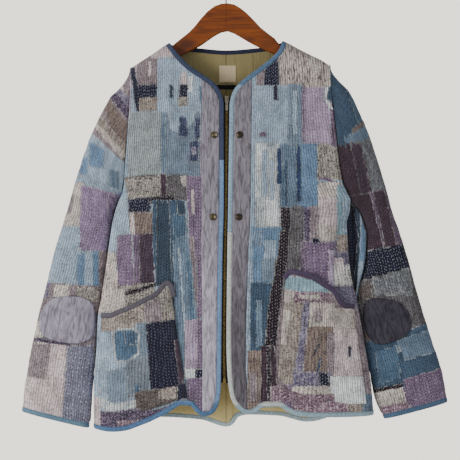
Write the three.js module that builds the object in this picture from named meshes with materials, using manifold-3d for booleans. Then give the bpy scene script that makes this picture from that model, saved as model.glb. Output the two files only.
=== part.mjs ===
// A patched, hand-quilted jacket hanging closed on a flat wooden hanger.
// Millimetres, +Z up. The origin is the inner top of the hanger's hook, the front faces -Y.
// "right" and "left" are the wearer's sides: right is -X, left is +X.
import * as THREE from "three";
import Module from "manifold-3d";
import { mergeVertices } from "three/addons/utils/BufferGeometryUtils.js";

const wasm = await Module();
wasm.setup();

// Driving dimensions of the cloth
const WALL = 2.5; // quilted patchwork
const LINING = 1.0;
const SEAM = 0.3; // gap between pieces that are sewn together
const ARMHOLE_GAP = 1.2; // the same at the curved armholes
const EDGE_GAP = 0.95; // and between a panel and the binding round its corners
const RIDGE = 0.5; // height of the quilted ridges
const BINDING_WIDTH = 8.4;
const BINDING_HEIGHT = 4.0;
const CLEAR = RIDGE + 0.6; // a piece that lies on a quilted wall starts this far above it
const SHOULDER_ROUND = 24; // the cloth rolls over the shoulder within this height
const ARMHOLE_DEPTH = 22; // half depth of the armhole, front to back
const BACK_SHARE = 0.85; // the back lies flatter than the front
const NECK_POINT = 102 + BINDING_WIDTH; // where the shoulder seam starts, from the middle
const NECK_POINT_Z = { right: -127, left: -123 };
const PLACKET_HEIGHT = 1.0;
const SNAP_RADIUS = 6.2;
const LINING_EASE = 0.05; // the lining lies this much looser than a sewn seam
const INSIDE_LIFT = 0.4; // gap between the lining and what is sewn on it
const ROUND_POWER = 2.3; // how squarely the cloth rolls over the shoulder
const SLEEVE_POWER = 2.6; // 2 is an ellipse, more is a squarer section
const FOLD_FADE = 60; // folds fade out within this height of the shoulder
const FOLD_END = 0.12; // share of a fold's rise at its two ends

// Grid of the panels
const PLACKET_COLUMNS = 2;
const NECK_COLUMNS = 6;
const SHOULDER_COLUMNS = 8;
const ROW_SHARES = [
  0, 0.08, 0.16, 0.24, 0.32, 0.4, 0.48, 0.56, 0.6, 0.633, 0.66, 0.685, 0.715, 0.76, 0.82, 0.88, 0.94, 1,
]; // closer together at the underarm
const TOP_DROPS = [17, 8, 2.5, 0]; // extra rows where the cloth rolls over the shoulder
const ROLL = 30; // height of the stretch that they share
const SLEEVE_RINGS = 18;
const SLEEVE_SIDES = 20;
const ROW_COUNT = ROW_SHARES.length + TOP_DROPS.length;
const TOP_ROW = ROW_COUNT - 1;
const COLUMN_EASE = 1.35; // columns stand closer together towards the side
const LINING_SKIP = 2; // columns of the back that the lining leaves free at each side
const HEM_GUESS = -800; // heights where the search for the ends of a column starts
const TOP_GUESS = -170;
const BAR_SECTION = [
  [0.5, 0], [0.33, 0.5], [-0.33, 0.5], [-0.5, 0], [-0.33, -0.5], [0.33, -0.5],
]; // shares of a binding's width and height

// Half width of the body at each height: the two side edges, and the left back,
// which folds out behind the left front
const BODY_SIDES = [
  { z: -120, right: 173, left: 187, behind: 187 },
  { z: -206, right: 173.5, left: 189.5, behind: 189.5 },
  { z: -244, right: 174.5, left: 193, behind: 193 },
  { z: -280, right: 177, left: 197, behind: 197 },
  { z: -318, right: 179.5, left: 201, behind: 201 },
  { z: -345, right: 182, left: 204.5, behind: 204.5 },
  { z: -381, right: 184.5, left: 211, behind: 211 },
  { z: -398, right: 188.5, left: 219, behind: 219 },
  { z: -416, right: 196, left: 226.5, behind: 228 },
  { z: -430, right: 201, left: 226, behind: 241 },
  { z: -454, right: 207, left: 220, behind: 250 },
  { z: -474, right: 210, left: 221, behind: 255 },
  { z: -508, right: 215, left: 223, behind: 254 },
  { z: -537, right: 219, left: 226, behind: 250 },
  { z: -571, right: 224, left: 232, behind: 241 },
  { z: -590, right: 227, left: 237.5, behind: 238 },
  { z: -620, right: 233, left: 243, behind: 243 },
  { z: -683, right: 236, left: 254, behind: 254 },
  { z: -758, right: 241, left: 265, behind: 265 },
  { z: -830, right: 240, left: 270, behind: 270 },
];

// Height of the shoulder seam at each distance from the middle
const SHOULDERS = [
  { x: 0, right: -97, left: -97 },
  { x: 60, right: -112, left: -110 },
  { x: 102, right: -127, left: -123 },
  { x: 142, right: -153, left: -143 },
  { x: 174, right: -173, left: -159 },
  { x: 187, right: -181, left: -167 },
];

// Half depth of the body, front to back
const BODY_DEPTH = [
  { z: -100, half: 20 },
  { z: -200, half: 22 },
  { z: -300, half: 26 },
  { z: -420, half: 31 },
  { z: -600, half: 36 },
  { z: -830, half: 40 },
];

// Inner edges of the two fronts, and the width of the placket beside each
const FRONT_EDGES = [
  { z: -236, right: -3.6, left: 6.3, placket: 32 },
  { z: -412, right: -3.8, left: 3.9, placket: 32 },
  { z: -520, right: -6.3, left: 2.2, placket: 29 },
  { z: -665, right: -8.1, left: 0.8, placket: 26 },
  { z: -710, right: -8.6, left: 1.8, placket: 25 },
  { z: -750, right: -9, left: 4.6, placket: 25 },
];

// Neckline and hem of each front: height of the bound edge at each x
const NECKLINES = {
  right: [
    { x: -2.7, z: -236 }, { x: -9, z: -218 }, { x: -20, z: -202 }, { x: -36, z: -190 },
    { x: -63, z: -172 }, { x: -81, z: -155 }, { x: -95, z: -138 }, { x: -102, z: -127 },
  ],
  left: [
    { x: 6, z: -236 }, { x: 14, z: -213 }, { x: 29, z: -197 }, { x: 58, z: -175 },
    { x: 83, z: -155 }, { x: 97, z: -139 }, { x: 102, z: -123 },
  ],
};
const HEMS = {
  right: [
    { x: -9, z: -752 }, { x: -12, z: -776 }, { x: -21, z: -794 }, { x: -31, z: -800 },
    { x: -46, z: -799 }, { x: -64, z: -781 }, { x: -80, z: -780 }, { x: -97, z: -790 },
    { x: -135, z: -810 }, { x: -155, z: -818 }, { x: -180, z: -827 }, { x: -208, z: -830 },
    { x: -240, z: -826 },
  ],
  left: [
    { x: 4, z: -745 }, { x: 9, z: -771 }, { x: 21, z: -787 }, { x: 36, z: -797 },
    { x: 50, z: -796 }, { x: 66, z: -784 }, { x: 95, z: -783 }, { x: 112, z: -794 },
    { x: 130, z: -800 }, { x: 170, z: -803 }, { x: 220, z: -803 }, { x: 270, z: -802 },
  ],
};
const BACK_NECK = [
  { x: -102, z: -127 }, { x: -85, z: -131 }, { x: -50, z: -134 }, { x: 0, z: -138 },
  { x: 55, z: -134 }, { x: 88, z: -129 }, { x: 102, z: -123 },
];
const BACK_HEM = [
  { x: -240, z: -826 }, { x: -200, z: -818 }, { x: -128, z: -811 }, { x: -47, z: -816 },
  { x: 5, z: -830 }, { x: 22, z: -811 }, { x: 41, z: -807 }, { x: 97, z: -809 },
  { x: 149, z: -820 }, { x: 171, z: -817 }, { x: 205, z: -805 }, { x: 270, z: -802 },
];

// Sleeves: each ring runs from the outer edge to the inner edge, which lies "away" from
// the side of the body; "half" is its half depth and "back" how far it hangs behind
const SLEEVES = {
  right: [
    { ring: 0, outerX: 173.5, outerZ: -172, innerZ: -398, away: 0.5, half: 22, back: 0 },
    { ring: 1, outerX: 209, outerZ: -224, innerZ: -403, away: 1.6, half: 22, back: 1 },
    { ring: 2, outerX: 248, outerZ: -301, innerZ: -418, away: 2.2, half: 21, back: 3 },
    { ring: 3, outerX: 270, outerZ: -364, innerZ: -440, away: 2.2, half: 20, back: 5 },
    { ring: 4, outerX: 293, outerZ: -443, innerZ: -476, away: 2.2, half: 20, back: 6 },
    { ring: 5, outerX: 311, outerZ: -501, innerZ: -516, away: 2.2, half: 20, back: 7 },
    { ring: 6, outerX: 328, outerZ: -569, innerZ: -576, away: 2.2, half: 20, back: 7 },
    { ring: 7, outerX: 344, outerZ: -634, innerZ: -646, away: 2.2, half: 19, back: 6 },
    { ring: 8, outerX: 356, outerZ: -692, innerZ: -708, away: 2.4, half: 18, back: 5 },
    { ring: 9, outerX: 365, outerZ: -744, innerZ: -766, away: 4, half: 17, back: 4 },
    { ring: 10, outerX: 370, outerZ: -788, innerZ: -818, away: 9, half: 17, back: 3 },
  ],
  left: [
    { ring: 0, outerX: 187.5, outerZ: -167, innerZ: -416, away: 0.5, half: 22, back: 0 },
    { ring: 1, outerX: 222, outerZ: -212, innerZ: -423, away: 2, half: 22, back: 1 },
    { ring: 2, outerX: 257, outerZ: -287, innerZ: -434, away: 2.4, half: 21, back: 4 },
    { ring: 3, outerX: 282, outerZ: -361, innerZ: -450, away: 2.4, half: 20, back: 7 },
    { ring: 4, outerX: 305, outerZ: -437, innerZ: -478, away: 2.4, half: 20, back: 9 },
    { ring: 5, outerX: 328, outerZ: -506, innerZ: -524, away: 2.4, half: 20, back: 10 },
    { ring: 6, outerX: 348, outerZ: -580, innerZ: -590, away: 2.4, half: 20, back: 9 },
    { ring: 7, outerX: 366, outerZ: -640, innerZ: -656, away: 2.4, half: 19, back: 8 },
    { ring: 8, outerX: 383, outerZ: -692, innerZ: -716, away: 2.6, half: 18, back: 6 },
    { ring: 9, outerX: 393, outerZ: -727, innerZ: -762, away: 5, half: 17, back: 4 },
    { ring: 10, outerX: 401, outerZ: -771, innerZ: -802, away: 17, half: 17, back: 3 },
  ],
};

// Large soft folds: a line from (x1, z1) to (x2, z2), raised or sunk by "height"
const FRONT_FOLDS = [
  { x1: -178, z1: -400, x2: -150, z2: -560, height: 4, width: 16 },
  { x1: -205, z1: -450, x2: -190, z2: -590, height: -3.5, width: 14 },
  { x1: -150, z1: -190, x2: -160, z2: -330, height: -2.5, width: 14 },
  { x1: -95, z1: -230, x2: -100, z2: -420, height: 2, width: 24 },
  { x1: 160, z1: -200, x2: 186, z2: -380, height: -3, width: 15 },
  { x1: 200, z1: -400, x2: 180, z2: -560, height: 4, width: 14 },
  { x1: 120, z1: -400, x2: 132, z2: -540, height: -2.5, width: 16 },
  { x1: 80, z1: -640, x2: 70, z2: -770, height: 2.5, width: 15 },
];
const BACK_FOLDS = [
  { x1: -150, z1: -380, x2: -120, z2: -640, height: 4, width: 20 },
  { x1: -60, z1: -260, x2: -75, z2: -480, height: -2.5, width: 18 },
  { x1: 20, z1: -520, x2: 10, z2: -800, height: 4, width: 18 },
  { x1: 90, z1: -300, x2: 110, z2: -560, height: -3, width: 20 },
  { x1: 175, z1: -420, x2: 150, z2: -660, height: 4, width: 18 },
];

// Patch pockets: each row is one strip of the pocket from its mouth to its bottom
const POCKETS = {
  right: [
    { topX: -97.5, topZ: -588, bottomX: -68.5, bottomZ: -768 },
    { topX: -104.5, topZ: -566, bottomX: -78, bottomZ: -768 },
    { topX: -121, topZ: -584, bottomX: -104, bottomZ: -778 },
    { topX: -142, topZ: -596, bottomX: -137, bottomZ: -788 },
    { topX: -167, topZ: -609, bottomX: -166, bottomZ: -794 },
    { topX: -189, topZ: -618, bottomX: -191, bottomZ: -798 },
    { topX: -209, topZ: -625, bottomX: -213, bottomZ: -796 },
    { topX: -224, topZ: -625, bottomX: -229, bottomZ: -776 },
  ],
  left: [
    { topX: 107, topZ: -556, bottomX: 93, bottomZ: -728 },
    { topX: 118, topZ: -546, bottomX: 113, bottomZ: -751 },
    { topX: 146, topZ: -553, bottomX: 144, bottomZ: -764 },
    { topX: 173, topZ: -568, bottomX: 173, bottomZ: -771 },
    { topX: 188, topZ: -578, bottomX: 194, bottomZ: -775 },
    { topX: 199, topZ: -597, bottomX: 214, bottomZ: -778 },
    { topX: 212, topZ: -607, bottomX: 232, bottomZ: -780 },
    { topX: 230, topZ: -609, bottomX: 253, bottomZ: -780 },
  ],
};
const POCKET_ROWS = 6;
const POCKET_WALL = 2.0;
const POCKET_GAPE = 8.0; // the mouth stands open by about this much
const MOUTH_WIDTH = 9;
const MOUTH_EXTRA = 0.6; // the mouth's binding is this much thicker than the pocket

// Elbow patches: centre and half sizes in rings and in turns round the sleeve
const ELBOWS = {
  right: { ring: 6.85, rings: 0.64, turn: 0.74, turns: 0.18 },
  left: { ring: 6.7, rings: 0.66, turn: 0.69, turns: 0.13 },
};
const ELBOW_STEPS = 6;
const ELBOW_LIFT = 0.5;
const ELBOW_THICK = 1.2;

// Gusset beside the left front: its section from the front's edge to the back's edge
const GUSSET = { top: -433, bottom: -566, start: 0.5, end: 1.6, thinner: 0.4 };
const GUSSET_SECTION = [
  { s: 0, y: 1.9 }, { s: 0.3, y: 6 }, { s: 0.55, y: 1 }, { s: 0.8, y: -4.5 }, { s: 1, y: -3.4 },
];

// Zip
const TAPE_WIDTH = 13;
const TAPE_THICK = 0.8;
const TAPE_BEHIND = 4.2; // how far the tapes lie behind the face of the cloth
const TAPE_TOP = -228.2;
const TAPE_BOTTOM = -741;
const SLIDER_TOP = -225;
const SLIDER_HEIGHT = 11;
const SLIDER_WIDTH = 7;
const PULL_LENGTH = 22;
const PULL_WIDTH = 4.6;
const PULL_THICK = 1.2;
const PULL_EYE = { half: 1.35, bottom: -5.1 };
const ARCH_REACH = -2.9; // how far the slider's arch stands in front of the cloth
const AXIS_Y = -0.55; // where the pull's top bar turns under the arch
const ZIP_BOX = { width: 5, depth: 2.4, height: 8, lift: 4.5, ahead: 1.6 };

// Label and tape inside the back neck
const LABEL = { left: -12.5, right: 18, top: -166, bottom: -197, thick: 0.6 };
const NECK_TAPE = { half: 74, top: -201.5, bottom: -209.5, thick: 0.8 };

// Press snaps on the plackets
const SNAPS = [
  { name: "snap_upper_right", x: -21.6, z: -296, recessed: true },
  { name: "snap_lower_right", x: -23.6, z: -443.5, recessed: true },
  { name: "snap_upper_left", x: 24.5, z: -295.5, recessed: false },
  { name: "snap_lower_left", x: 23, z: -443.5, recessed: false },
];

// Hanger
const WOOD_THICK = 11;
const WOOD_BEVEL = 1.5;
const WOOD_STEPS = 28;
const HANGER = [
  { x: -166, top: -177.5, bottom: -190 },
  { x: -142, top: -162.5, bottom: -181 },
  { x: -112, top: -145, bottom: -166 },
  { x: -101, top: -139, bottom: -160 },
  { x: -94, top: -129.5, bottom: -156 },
  { x: -89, top: -125, bottom: -153 },
  { x: -63, top: -104, bottom: -140.5 },
  { x: -45, top: -82, bottom: -131 },
  { x: -28, top: -65, bottom: -119 },
  { x: -14, top: -57, bottom: -110 },
  { x: 0, top: -55, bottom: -105 },
  { x: 14, top: -57, bottom: -109 },
  { x: 28, top: -65, bottom: -117 },
  { x: 45, top: -80, bottom: -127 },
  { x: 63, top: -99.5, bottom: -136 },
  { x: 92, top: -122.5, bottom: -149 },
  { x: 97, top: -129, bottom: -151.5 },
  { x: 104, top: -138.5, bottom: -155 },
  { x: 118, top: -143.5, bottom: -162 },
  { x: 148, top: -156, bottom: -174 },
  { x: 172, top: -169, bottom: -182 },
];
const HOOK_ROD = 1.8;
const HOOK_INNER = 17;
const HOOK_FOOT = [-54.6, -46]; // heights of the straight part over the wood
const HOOK_START = -62; // degrees, anticlockwise from the hook's side
const HOOK_STEP = 27;
const HOOK_STEPS = 10;

const SIDES = [
  { name: "right", sign: -1 },
  { name: "left", sign: 1 },
];
const group = new THREE.Group();

// Value of one column of a table at a key, joined by smooth curves that don't overshoot
function along(rows, key, column, at) {
  const last = rows.length - 1;
  const rising = rows[last][key] > rows[0][key] ? 1 : -1;
  let i = 0;
  while (i < last - 1 && rising * at > rising * rows[i + 1][key]) i += 1;
  const slope = (a) => (rows[a + 1][column] - rows[a][column]) / (rows[a + 1][key] - rows[a][key]);
  const blend = (a, b) => (a * b <= 0 ? 0 : (2 * a * b) / (a + b));
  const span = rows[i + 1][key] - rows[i][key];
  const t = THREE.MathUtils.clamp((at - rows[i][key]) / span, 0, 1);
  const start = i > 0 ? blend(slope(i - 1), slope(i)) : slope(i);
  const end = i < last - 1 ? blend(slope(i), slope(i + 1)) : slope(i);
  const a = rows[i][column];
  const b = rows[i + 1][column];
  const t2 = t * t;
  const t3 = t2 * t;
  return a * (2 * t3 - 3 * t2 + 1) + span * start * (t3 - 2 * t2 + t)
    + b * (3 * t2 - 2 * t3) + span * end * (t3 - t2);
}

// The x, z points of an edge moved sideways by a distance
function movedEdge(points, distance) {
  return points.map((point, i) => {
    const before = points[Math.max(i - 1, 0)];
    const after = points[Math.min(i + 1, points.length - 1)];
    const length = Math.hypot(after.x - before.x, after.z - before.z);
    return {
      x: point.x - (distance * (after.z - before.z)) / length,
      z: point.z + (distance * (after.x - before.x)) / length,
    };
  });
}

// Closed body between two grids of points; "closed" joins the last column to the first
function shell(outer, inner, closed) {
  const rows = outer.length;
  const columns = outer[0].length;
  const count = rows * columns;
  const points = [...outer.flat(), ...inner.flat()];
  const faces = [];
  const quad = (a, b, c, d) => faces.push([a, b, c], [a, c, d]);
  const at = (i, j) => i * columns + (j % columns);
  const lastColumn = closed ? columns : columns - 1;
  for (let i = 0; i < rows - 1; i += 1) {
    for (let j = 0; j < lastColumn; j += 1) {
      quad(at(i, j), at(i, j + 1), at(i + 1, j + 1), at(i + 1, j));
      quad(count + at(i, j), count + at(i + 1, j), count + at(i + 1, j + 1), count + at(i, j + 1));
    }
  }
  for (let j = 0; j < lastColumn; j += 1) {
    quad(at(0, j + 1), at(0, j), count + at(0, j), count + at(0, j + 1));
    const top = rows - 1;
    quad(at(top, j), at(top, j + 1), count + at(top, j + 1), count + at(top, j));
  }
  for (let i = 0; i < rows - 1 && !closed; i += 1) {
    quad(at(i, 0), at(i + 1, 0), count + at(i + 1, 0), count + at(i, 0));
    const end = columns - 1;
    quad(at(i + 1, end), at(i, end), count + at(i, end), count + at(i + 1, end));
  }
  return body(points, faces);
}

// Indexed geometry with its faces turned outward
function body(points, faces) {
  let volume = 0;
  for (const [a, b, c] of faces) {
    volume += points[a].dot(new THREE.Vector3().crossVectors(points[b], points[c]));
  }
  const turned = volume < 0 ? faces.map(([a, b, c]) => [a, c, b]) : faces;
  const geometry = new THREE.BufferGeometry();
  const positions = points.flatMap((point) => point.toArray());
  geometry.setAttribute("position", new THREE.Float32BufferAttribute(positions, 3));
  geometry.setIndex(turned.flat());
  geometry.computeVertexNormals();
  return geometry;
}

// Unit normals of a grid of points, turned to the side where "outward" is positive
function gridNormals(grid, closed, outward, flatten) {
  const rows = grid.length;
  const columns = grid[0].length;
  return grid.map((row, i) => row.map((point, j) => {
    const up = grid[Math.min(i + 1, rows - 1)][j].clone().sub(grid[Math.max(i - 1, 0)][j]);
    const next = closed ? row[(j + 1) % columns] : row[Math.min(j + 1, columns - 1)];
    const before = closed ? row[(j + columns - 1) % columns] : row[Math.max(j - 1, 0)];
    const normal = next.clone().sub(before).cross(up);
    const axis = flatten(i, j);
    if (axis) normal[axis] = 0;
    normal.normalize();
    if (normal.dot(outward(i, j)) < 0) normal.negate();
    return normal;
  }));
}

function movedGrid(grid, normals, distance) {
  return grid.map((row, i) => row.map((point, j) => {
    const step = typeof distance === "function" ? distance(i, j) : distance;
    return point.clone().addScaledVector(normals[i][j], step);
  }));
}

// A bar with a rounded section laid along stations; each has a centre, a side direction
// and a face direction
function bar(stations, width, height, closed) {
  const sides = BAR_SECTION.length;
  const points = [];
  for (const station of stations) {
    for (const [across, out] of BAR_SECTION) {
      points.push(station.centre.clone()
        .addScaledVector(station.side, across * width)
        .addScaledVector(station.face, out * height));
    }
  }
  const faces = [];
  const lengths = closed ? stations.length : stations.length - 1;
  for (let i = 0; i < lengths; i += 1) {
    const next = ((i + 1) % stations.length) * sides;
    for (let k = 0; k < sides; k += 1) {
      const k2 = (k + 1) % sides;
      faces.push([i * sides + k, i * sides + k2, next + k2], [i * sides + k, next + k2, next + k]);
    }
  }
  const end = (stations.length - 1) * sides;
  for (let k = 1; k < sides - 1 && !closed; k += 1) {
    faces.push([0, k + 1, k], [end, end + k, end + k + 1]);
  }
  return body(points, faces);
}

function addMesh(name, geometry, color, roughness = 0.95, metalness = 0) {
  const mesh = new THREE.Mesh(geometry, new THREE.MeshStandardMaterial({ color, roughness, metalness }));
  mesh.name = name;
  group.add(mesh);
  return mesh;
}

// Height of a fold's ridge at x, z
function foldHeight(folds, x, z) {
  let height = 0;
  for (const fold of folds) {
    const dx = fold.x2 - fold.x1;
    const dz = fold.z2 - fold.z1;
    const part = THREE.MathUtils.clamp(
      ((x - fold.x1) * dx + (z - fold.z1) * dz) / (dx * dx + dz * dz), 0, 1);
    const distance = Math.hypot(x - fold.x1 - part * dx, z - fold.z1 - part * dz);
    height += fold.height * Math.sin(Math.PI * (FOLD_END + (1 - 2 * FOLD_END) * part))
      * Math.exp(-((distance / fold.width) ** 2));
  }
  return height;
}

function shoulderZ(side, x) {
  return along(SHOULDERS, "x", side.name, Math.abs(x));
}

// Rounded rise from 0 at the ends to 1, over a share of the way
function roundOff(share) {
  return (1 - (1 - THREE.MathUtils.clamp(share, 0, 1)) ** ROUND_POWER) ** (1 / ROUND_POWER);
}

// Half depth of the armhole at a height, 0 below the underarm
function armholeHalf(side, z) {
  const rings = SLEEVES[side.name];
  const middle = (rings[0].outerZ + rings[0].innerZ) / 2;
  const reach = (rings[0].outerZ - rings[0].innerZ) / 2;
  const share = Math.min(Math.abs(z - middle) / reach, 1);
  return ARMHOLE_DEPTH * (1 - share ** SLEEVE_POWER) ** (1 / SLEEVE_POWER);
}

// Distance of the cloth's face from the middle plane, for the front or the back
function bodyHalf(side, reach, x, z, share, folds) {
  const across = THREE.MathUtils.clamp(Math.abs(x) / reach, 0, 1);
  const fall = (1 - across ** 3) ** (1 / 3);
  const drop = shoulderZ(side, x) - z;
  const middle = along(BODY_DEPTH, "z", "half", z) * share * roundOff(drop / SHOULDER_ROUND);
  const rim = armholeHalf(side, z);
  const fade = fall * roundOff(drop / FOLD_FADE);
  return rim + (middle - rim) * fall + foldHeight(folds, x, z) * fade;
}

function frontY(side, x, z) {
  const reach = along(BODY_SIDES, "z", side.name, z);
  return -Math.max(bodyHalf(side, reach, x, z, 1, FRONT_FOLDS), SEAM / 2);
}

function backReach(side, z) {
  return along(BODY_SIDES, "z", side.name === "left" ? "behind" : "right", z);
}

function backY(side, x, z) {
  const half = bodyHalf(side, backReach(side, z), x, z, BACK_SHARE, BACK_FOLDS);
  return Math.max(half, SEAM / 2);
}

function frontPoint(side, x, z) {
  return new THREE.Vector3(x, frontY(side, x, z), z);
}

// Unit normal of the front's face at x, z
function frontNormal(side, x, z) {
  const step = 3;
  const slopeX = (frontY(side, x + step, z) - frontY(side, x - step, z)) / (2 * step);
  const slopeZ = (frontY(side, x, z + step) - frontY(side, x, z - step)) / (2 * step);
  return new THREE.Vector3(slopeX, -1, slopeZ).normalize();
}

// Height where a panel's column meets a bound edge or the shoulder seam
function meet(columnX, heightAt, start) {
  let z = start;
  for (let turn = 0; turn < 12; turn += 1) z = heightAt(columnX(z));
  return z;
}

// Height of one row of a panel between its lower and upper edge
function rowHeight(i, low, high) {
  if (i >= ROW_SHARES.length) return high - TOP_DROPS[i - ROW_SHARES.length];
  return low + (high - ROLL - low) * ROW_SHARES[i];
}

function edgeHeight(points) {
  const ordered = [...points].sort((a, b) => a.x - b.x);
  return (x) => along(ordered, "x", "z", x);
}

// Columns of a front at a height: over the placket, then to the neck point, then to the side
function frontColumns(side) {
  const neckZ = shoulderZ(side, NECK_POINT);
  const xAt = (z, outer) => {
    const edge = along(FRONT_EDGES, "z", side.name, z) + side.sign * BINDING_WIDTH;
    const placket = edge + side.sign * along(FRONT_EDGES, "z", "placket", z);
    const reach = side.sign * along(BODY_SIDES, "z", side.name, z);
    return outer < 0 ? edge + (placket - edge) * (1 + outer) : placket + (reach - placket) * outer;
  };
  const placketX = xAt(neckZ, 0);
  const neckShare = (side.sign * NECK_POINT - placketX) / (xAt(neckZ, 1) - placketX);
  const columns = [];
  for (let j = 0; j < PLACKET_COLUMNS; j += 1) columns.push(j / PLACKET_COLUMNS - 1);
  for (let j = 0; j < NECK_COLUMNS; j += 1) columns.push((neckShare * j) / NECK_COLUMNS);
  for (let j = 0; j <= SHOULDER_COLUMNS; j += 1) {
    const share = 1 - (1 - j / SHOULDER_COLUMNS) ** COLUMN_EASE;
    columns.push(neckShare + (1 - neckShare) * share);
  }
  return { columns, xAt };
}

function frontGrid(side) {
  const { columns, xAt } = frontColumns(side);
  const neck = edgeHeight(movedEdge(NECKLINES[side.name], -side.sign * BINDING_WIDTH));
  const hem = edgeHeight(movedEdge(HEMS[side.name], side.sign * BINDING_WIDTH));
  const neckColumn = PLACKET_COLUMNS + NECK_COLUMNS;
  const grid = [];
  const ends = columns.map((outer, j) => {
    const columnX = (z) => xAt(z, outer);
    const seam = (x) => shoulderZ(side, x);
    return {
      columnX,
      low: meet(columnX, hem, HEM_GUESS),
      high: meet(columnX, j < neckColumn ? neck : seam, TOP_GUESS),
    };
  });
  for (let i = 0; i < ROW_COUNT; i += 1) {
    grid.push(ends.map(({ columnX, low, high }) => {
      const z = rowHeight(i, low, high);
      return frontPoint(side, columnX(z), z);
    }));
  }
  return grid;
}

// Seam rows and columns whose normals stay in the plane of the seam
function frontFlatten(grid) {
  const neckColumn = PLACKET_COLUMNS + NECK_COLUMNS;
  const last = grid[0].length - 1;
  return (i, j) => {
    if (i === grid.length - 1 && j >= neckColumn) return "y";
    return j === last && grid[i][j].y > -1 ? "y" : null;
  };
}

// One front with its placket and its binding
function buildFront(side) {
  const grid = frontGrid(side);
  const last = grid[0].length - 1;
  const outward = (i, j) => {
    if (i === grid.length - 1 && j >= PLACKET_COLUMNS + NECK_COLUMNS) return new THREE.Vector3(0, 0, 1);
    return j === last ? new THREE.Vector3(side.sign, -0.5, 0) : new THREE.Vector3(0, -1, 0);
  };
  const normals = gridNormals(grid, false, outward, frontFlatten(grid));
  const inside = (i, j) => i > 0 && i < grid.length - 1 && j > 0 && j < last;
  const raised = movedGrid(grid, normals, (i, j) => (inside(i, j) && j % 2 ? RIDGE : 0));
  const inner = movedGrid(grid, normals, -WALL);
  addMesh(`front_${side.name}`, shell(raised, inner, false), "#8d93a8");

  const over = raised.map((row) => row.slice(0, PLACKET_COLUMNS + 1));
  const overNormals = normals.map((row) => row.slice(0, PLACKET_COLUMNS + 1));
  const placket = shell(movedGrid(over, overNormals, SEAM + PLACKET_HEIGHT),
    movedGrid(over, overNormals, SEAM), false);
  addMesh(`placket_${side.name}`, placket, "#8f8a9c");

  const path = [];
  for (let j = PLACKET_COLUMNS + NECK_COLUMNS; j > 0; j -= 1) path.push([grid.length - 1, j]);
  for (let i = grid.length - 1; i > 0; i -= 1) path.push([i, 0]);
  for (let j = 0; j <= last; j += 1) path.push([0, j]);
  addMesh(`front_binding_${side.name}`,
    edgeBinding(path.map(([i, j]) => grid[i][j]), path.map(([i, j]) => normals[i][j]), side.sign),
    side.name === "right" ? "#4f6792" : "#9db5bf");
}

// A binding along a panel's edge, a gap outside it; "turn" is 1 or -1 for the side it lies on
function edgeBinding(points, normals, turn) {
  const seamAhead = new THREE.Vector3(0, 1, 0);
  const last = points.length - 1;
  const stations = points.map((point, i) => {
    const ahead = points[Math.min(i + 1, last)].clone().sub(points[Math.max(i - 1, 0)]).normalize();
    const atSeam = (i === 0 || i === last) && Math.abs(point.y) < 1;
    const side = new THREE.Vector3().crossVectors(ahead, normals[i]).multiplyScalar(turn).normalize();
    if (atSeam) {
      const straight = new THREE.Vector3().crossVectors(seamAhead, normals[i]).normalize();
      side.copy(straight.dot(side) < 0 ? straight.negate() : straight);
    }
    const centre = point.clone()
      .addScaledVector(side, BINDING_WIDTH / 2 + EDGE_GAP)
      .addScaledVector(normals[i], -WALL / 2);
    return { centre, side, face: normals[i] };
  });
  return bar(stations, BINDING_WIDTH, BINDING_HEIGHT, false);
}

// The back: columns run from the right side to the left side through both neck points
function backColumns() {
  const half = [];
  const rightShare = NECK_POINT / along(BODY_SIDES, "z", "right", NECK_POINT_Z.right);
  const leftShare = NECK_POINT / along(BODY_SIDES, "z", "left", NECK_POINT_Z.left);
  for (let j = 0; j <= SHOULDER_COLUMNS; j += 1) half.push(1 - (1 - j / SHOULDER_COLUMNS) ** COLUMN_EASE);
  const right = half.map((share) => -(rightShare + (1 - rightShare) * share)).reverse();
  const left = half.map((share) => leftShare + (1 - leftShare) * share);
  const middle = [];
  const steps = 2 * NECK_COLUMNS;
  for (let j = 1; j < steps; j += 1) {
    const t = (2 * j) / steps - 1;
    middle.push(t * (t < 0 ? rightShare : leftShare));
  }
  return [...right, ...middle, ...left];
}

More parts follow.
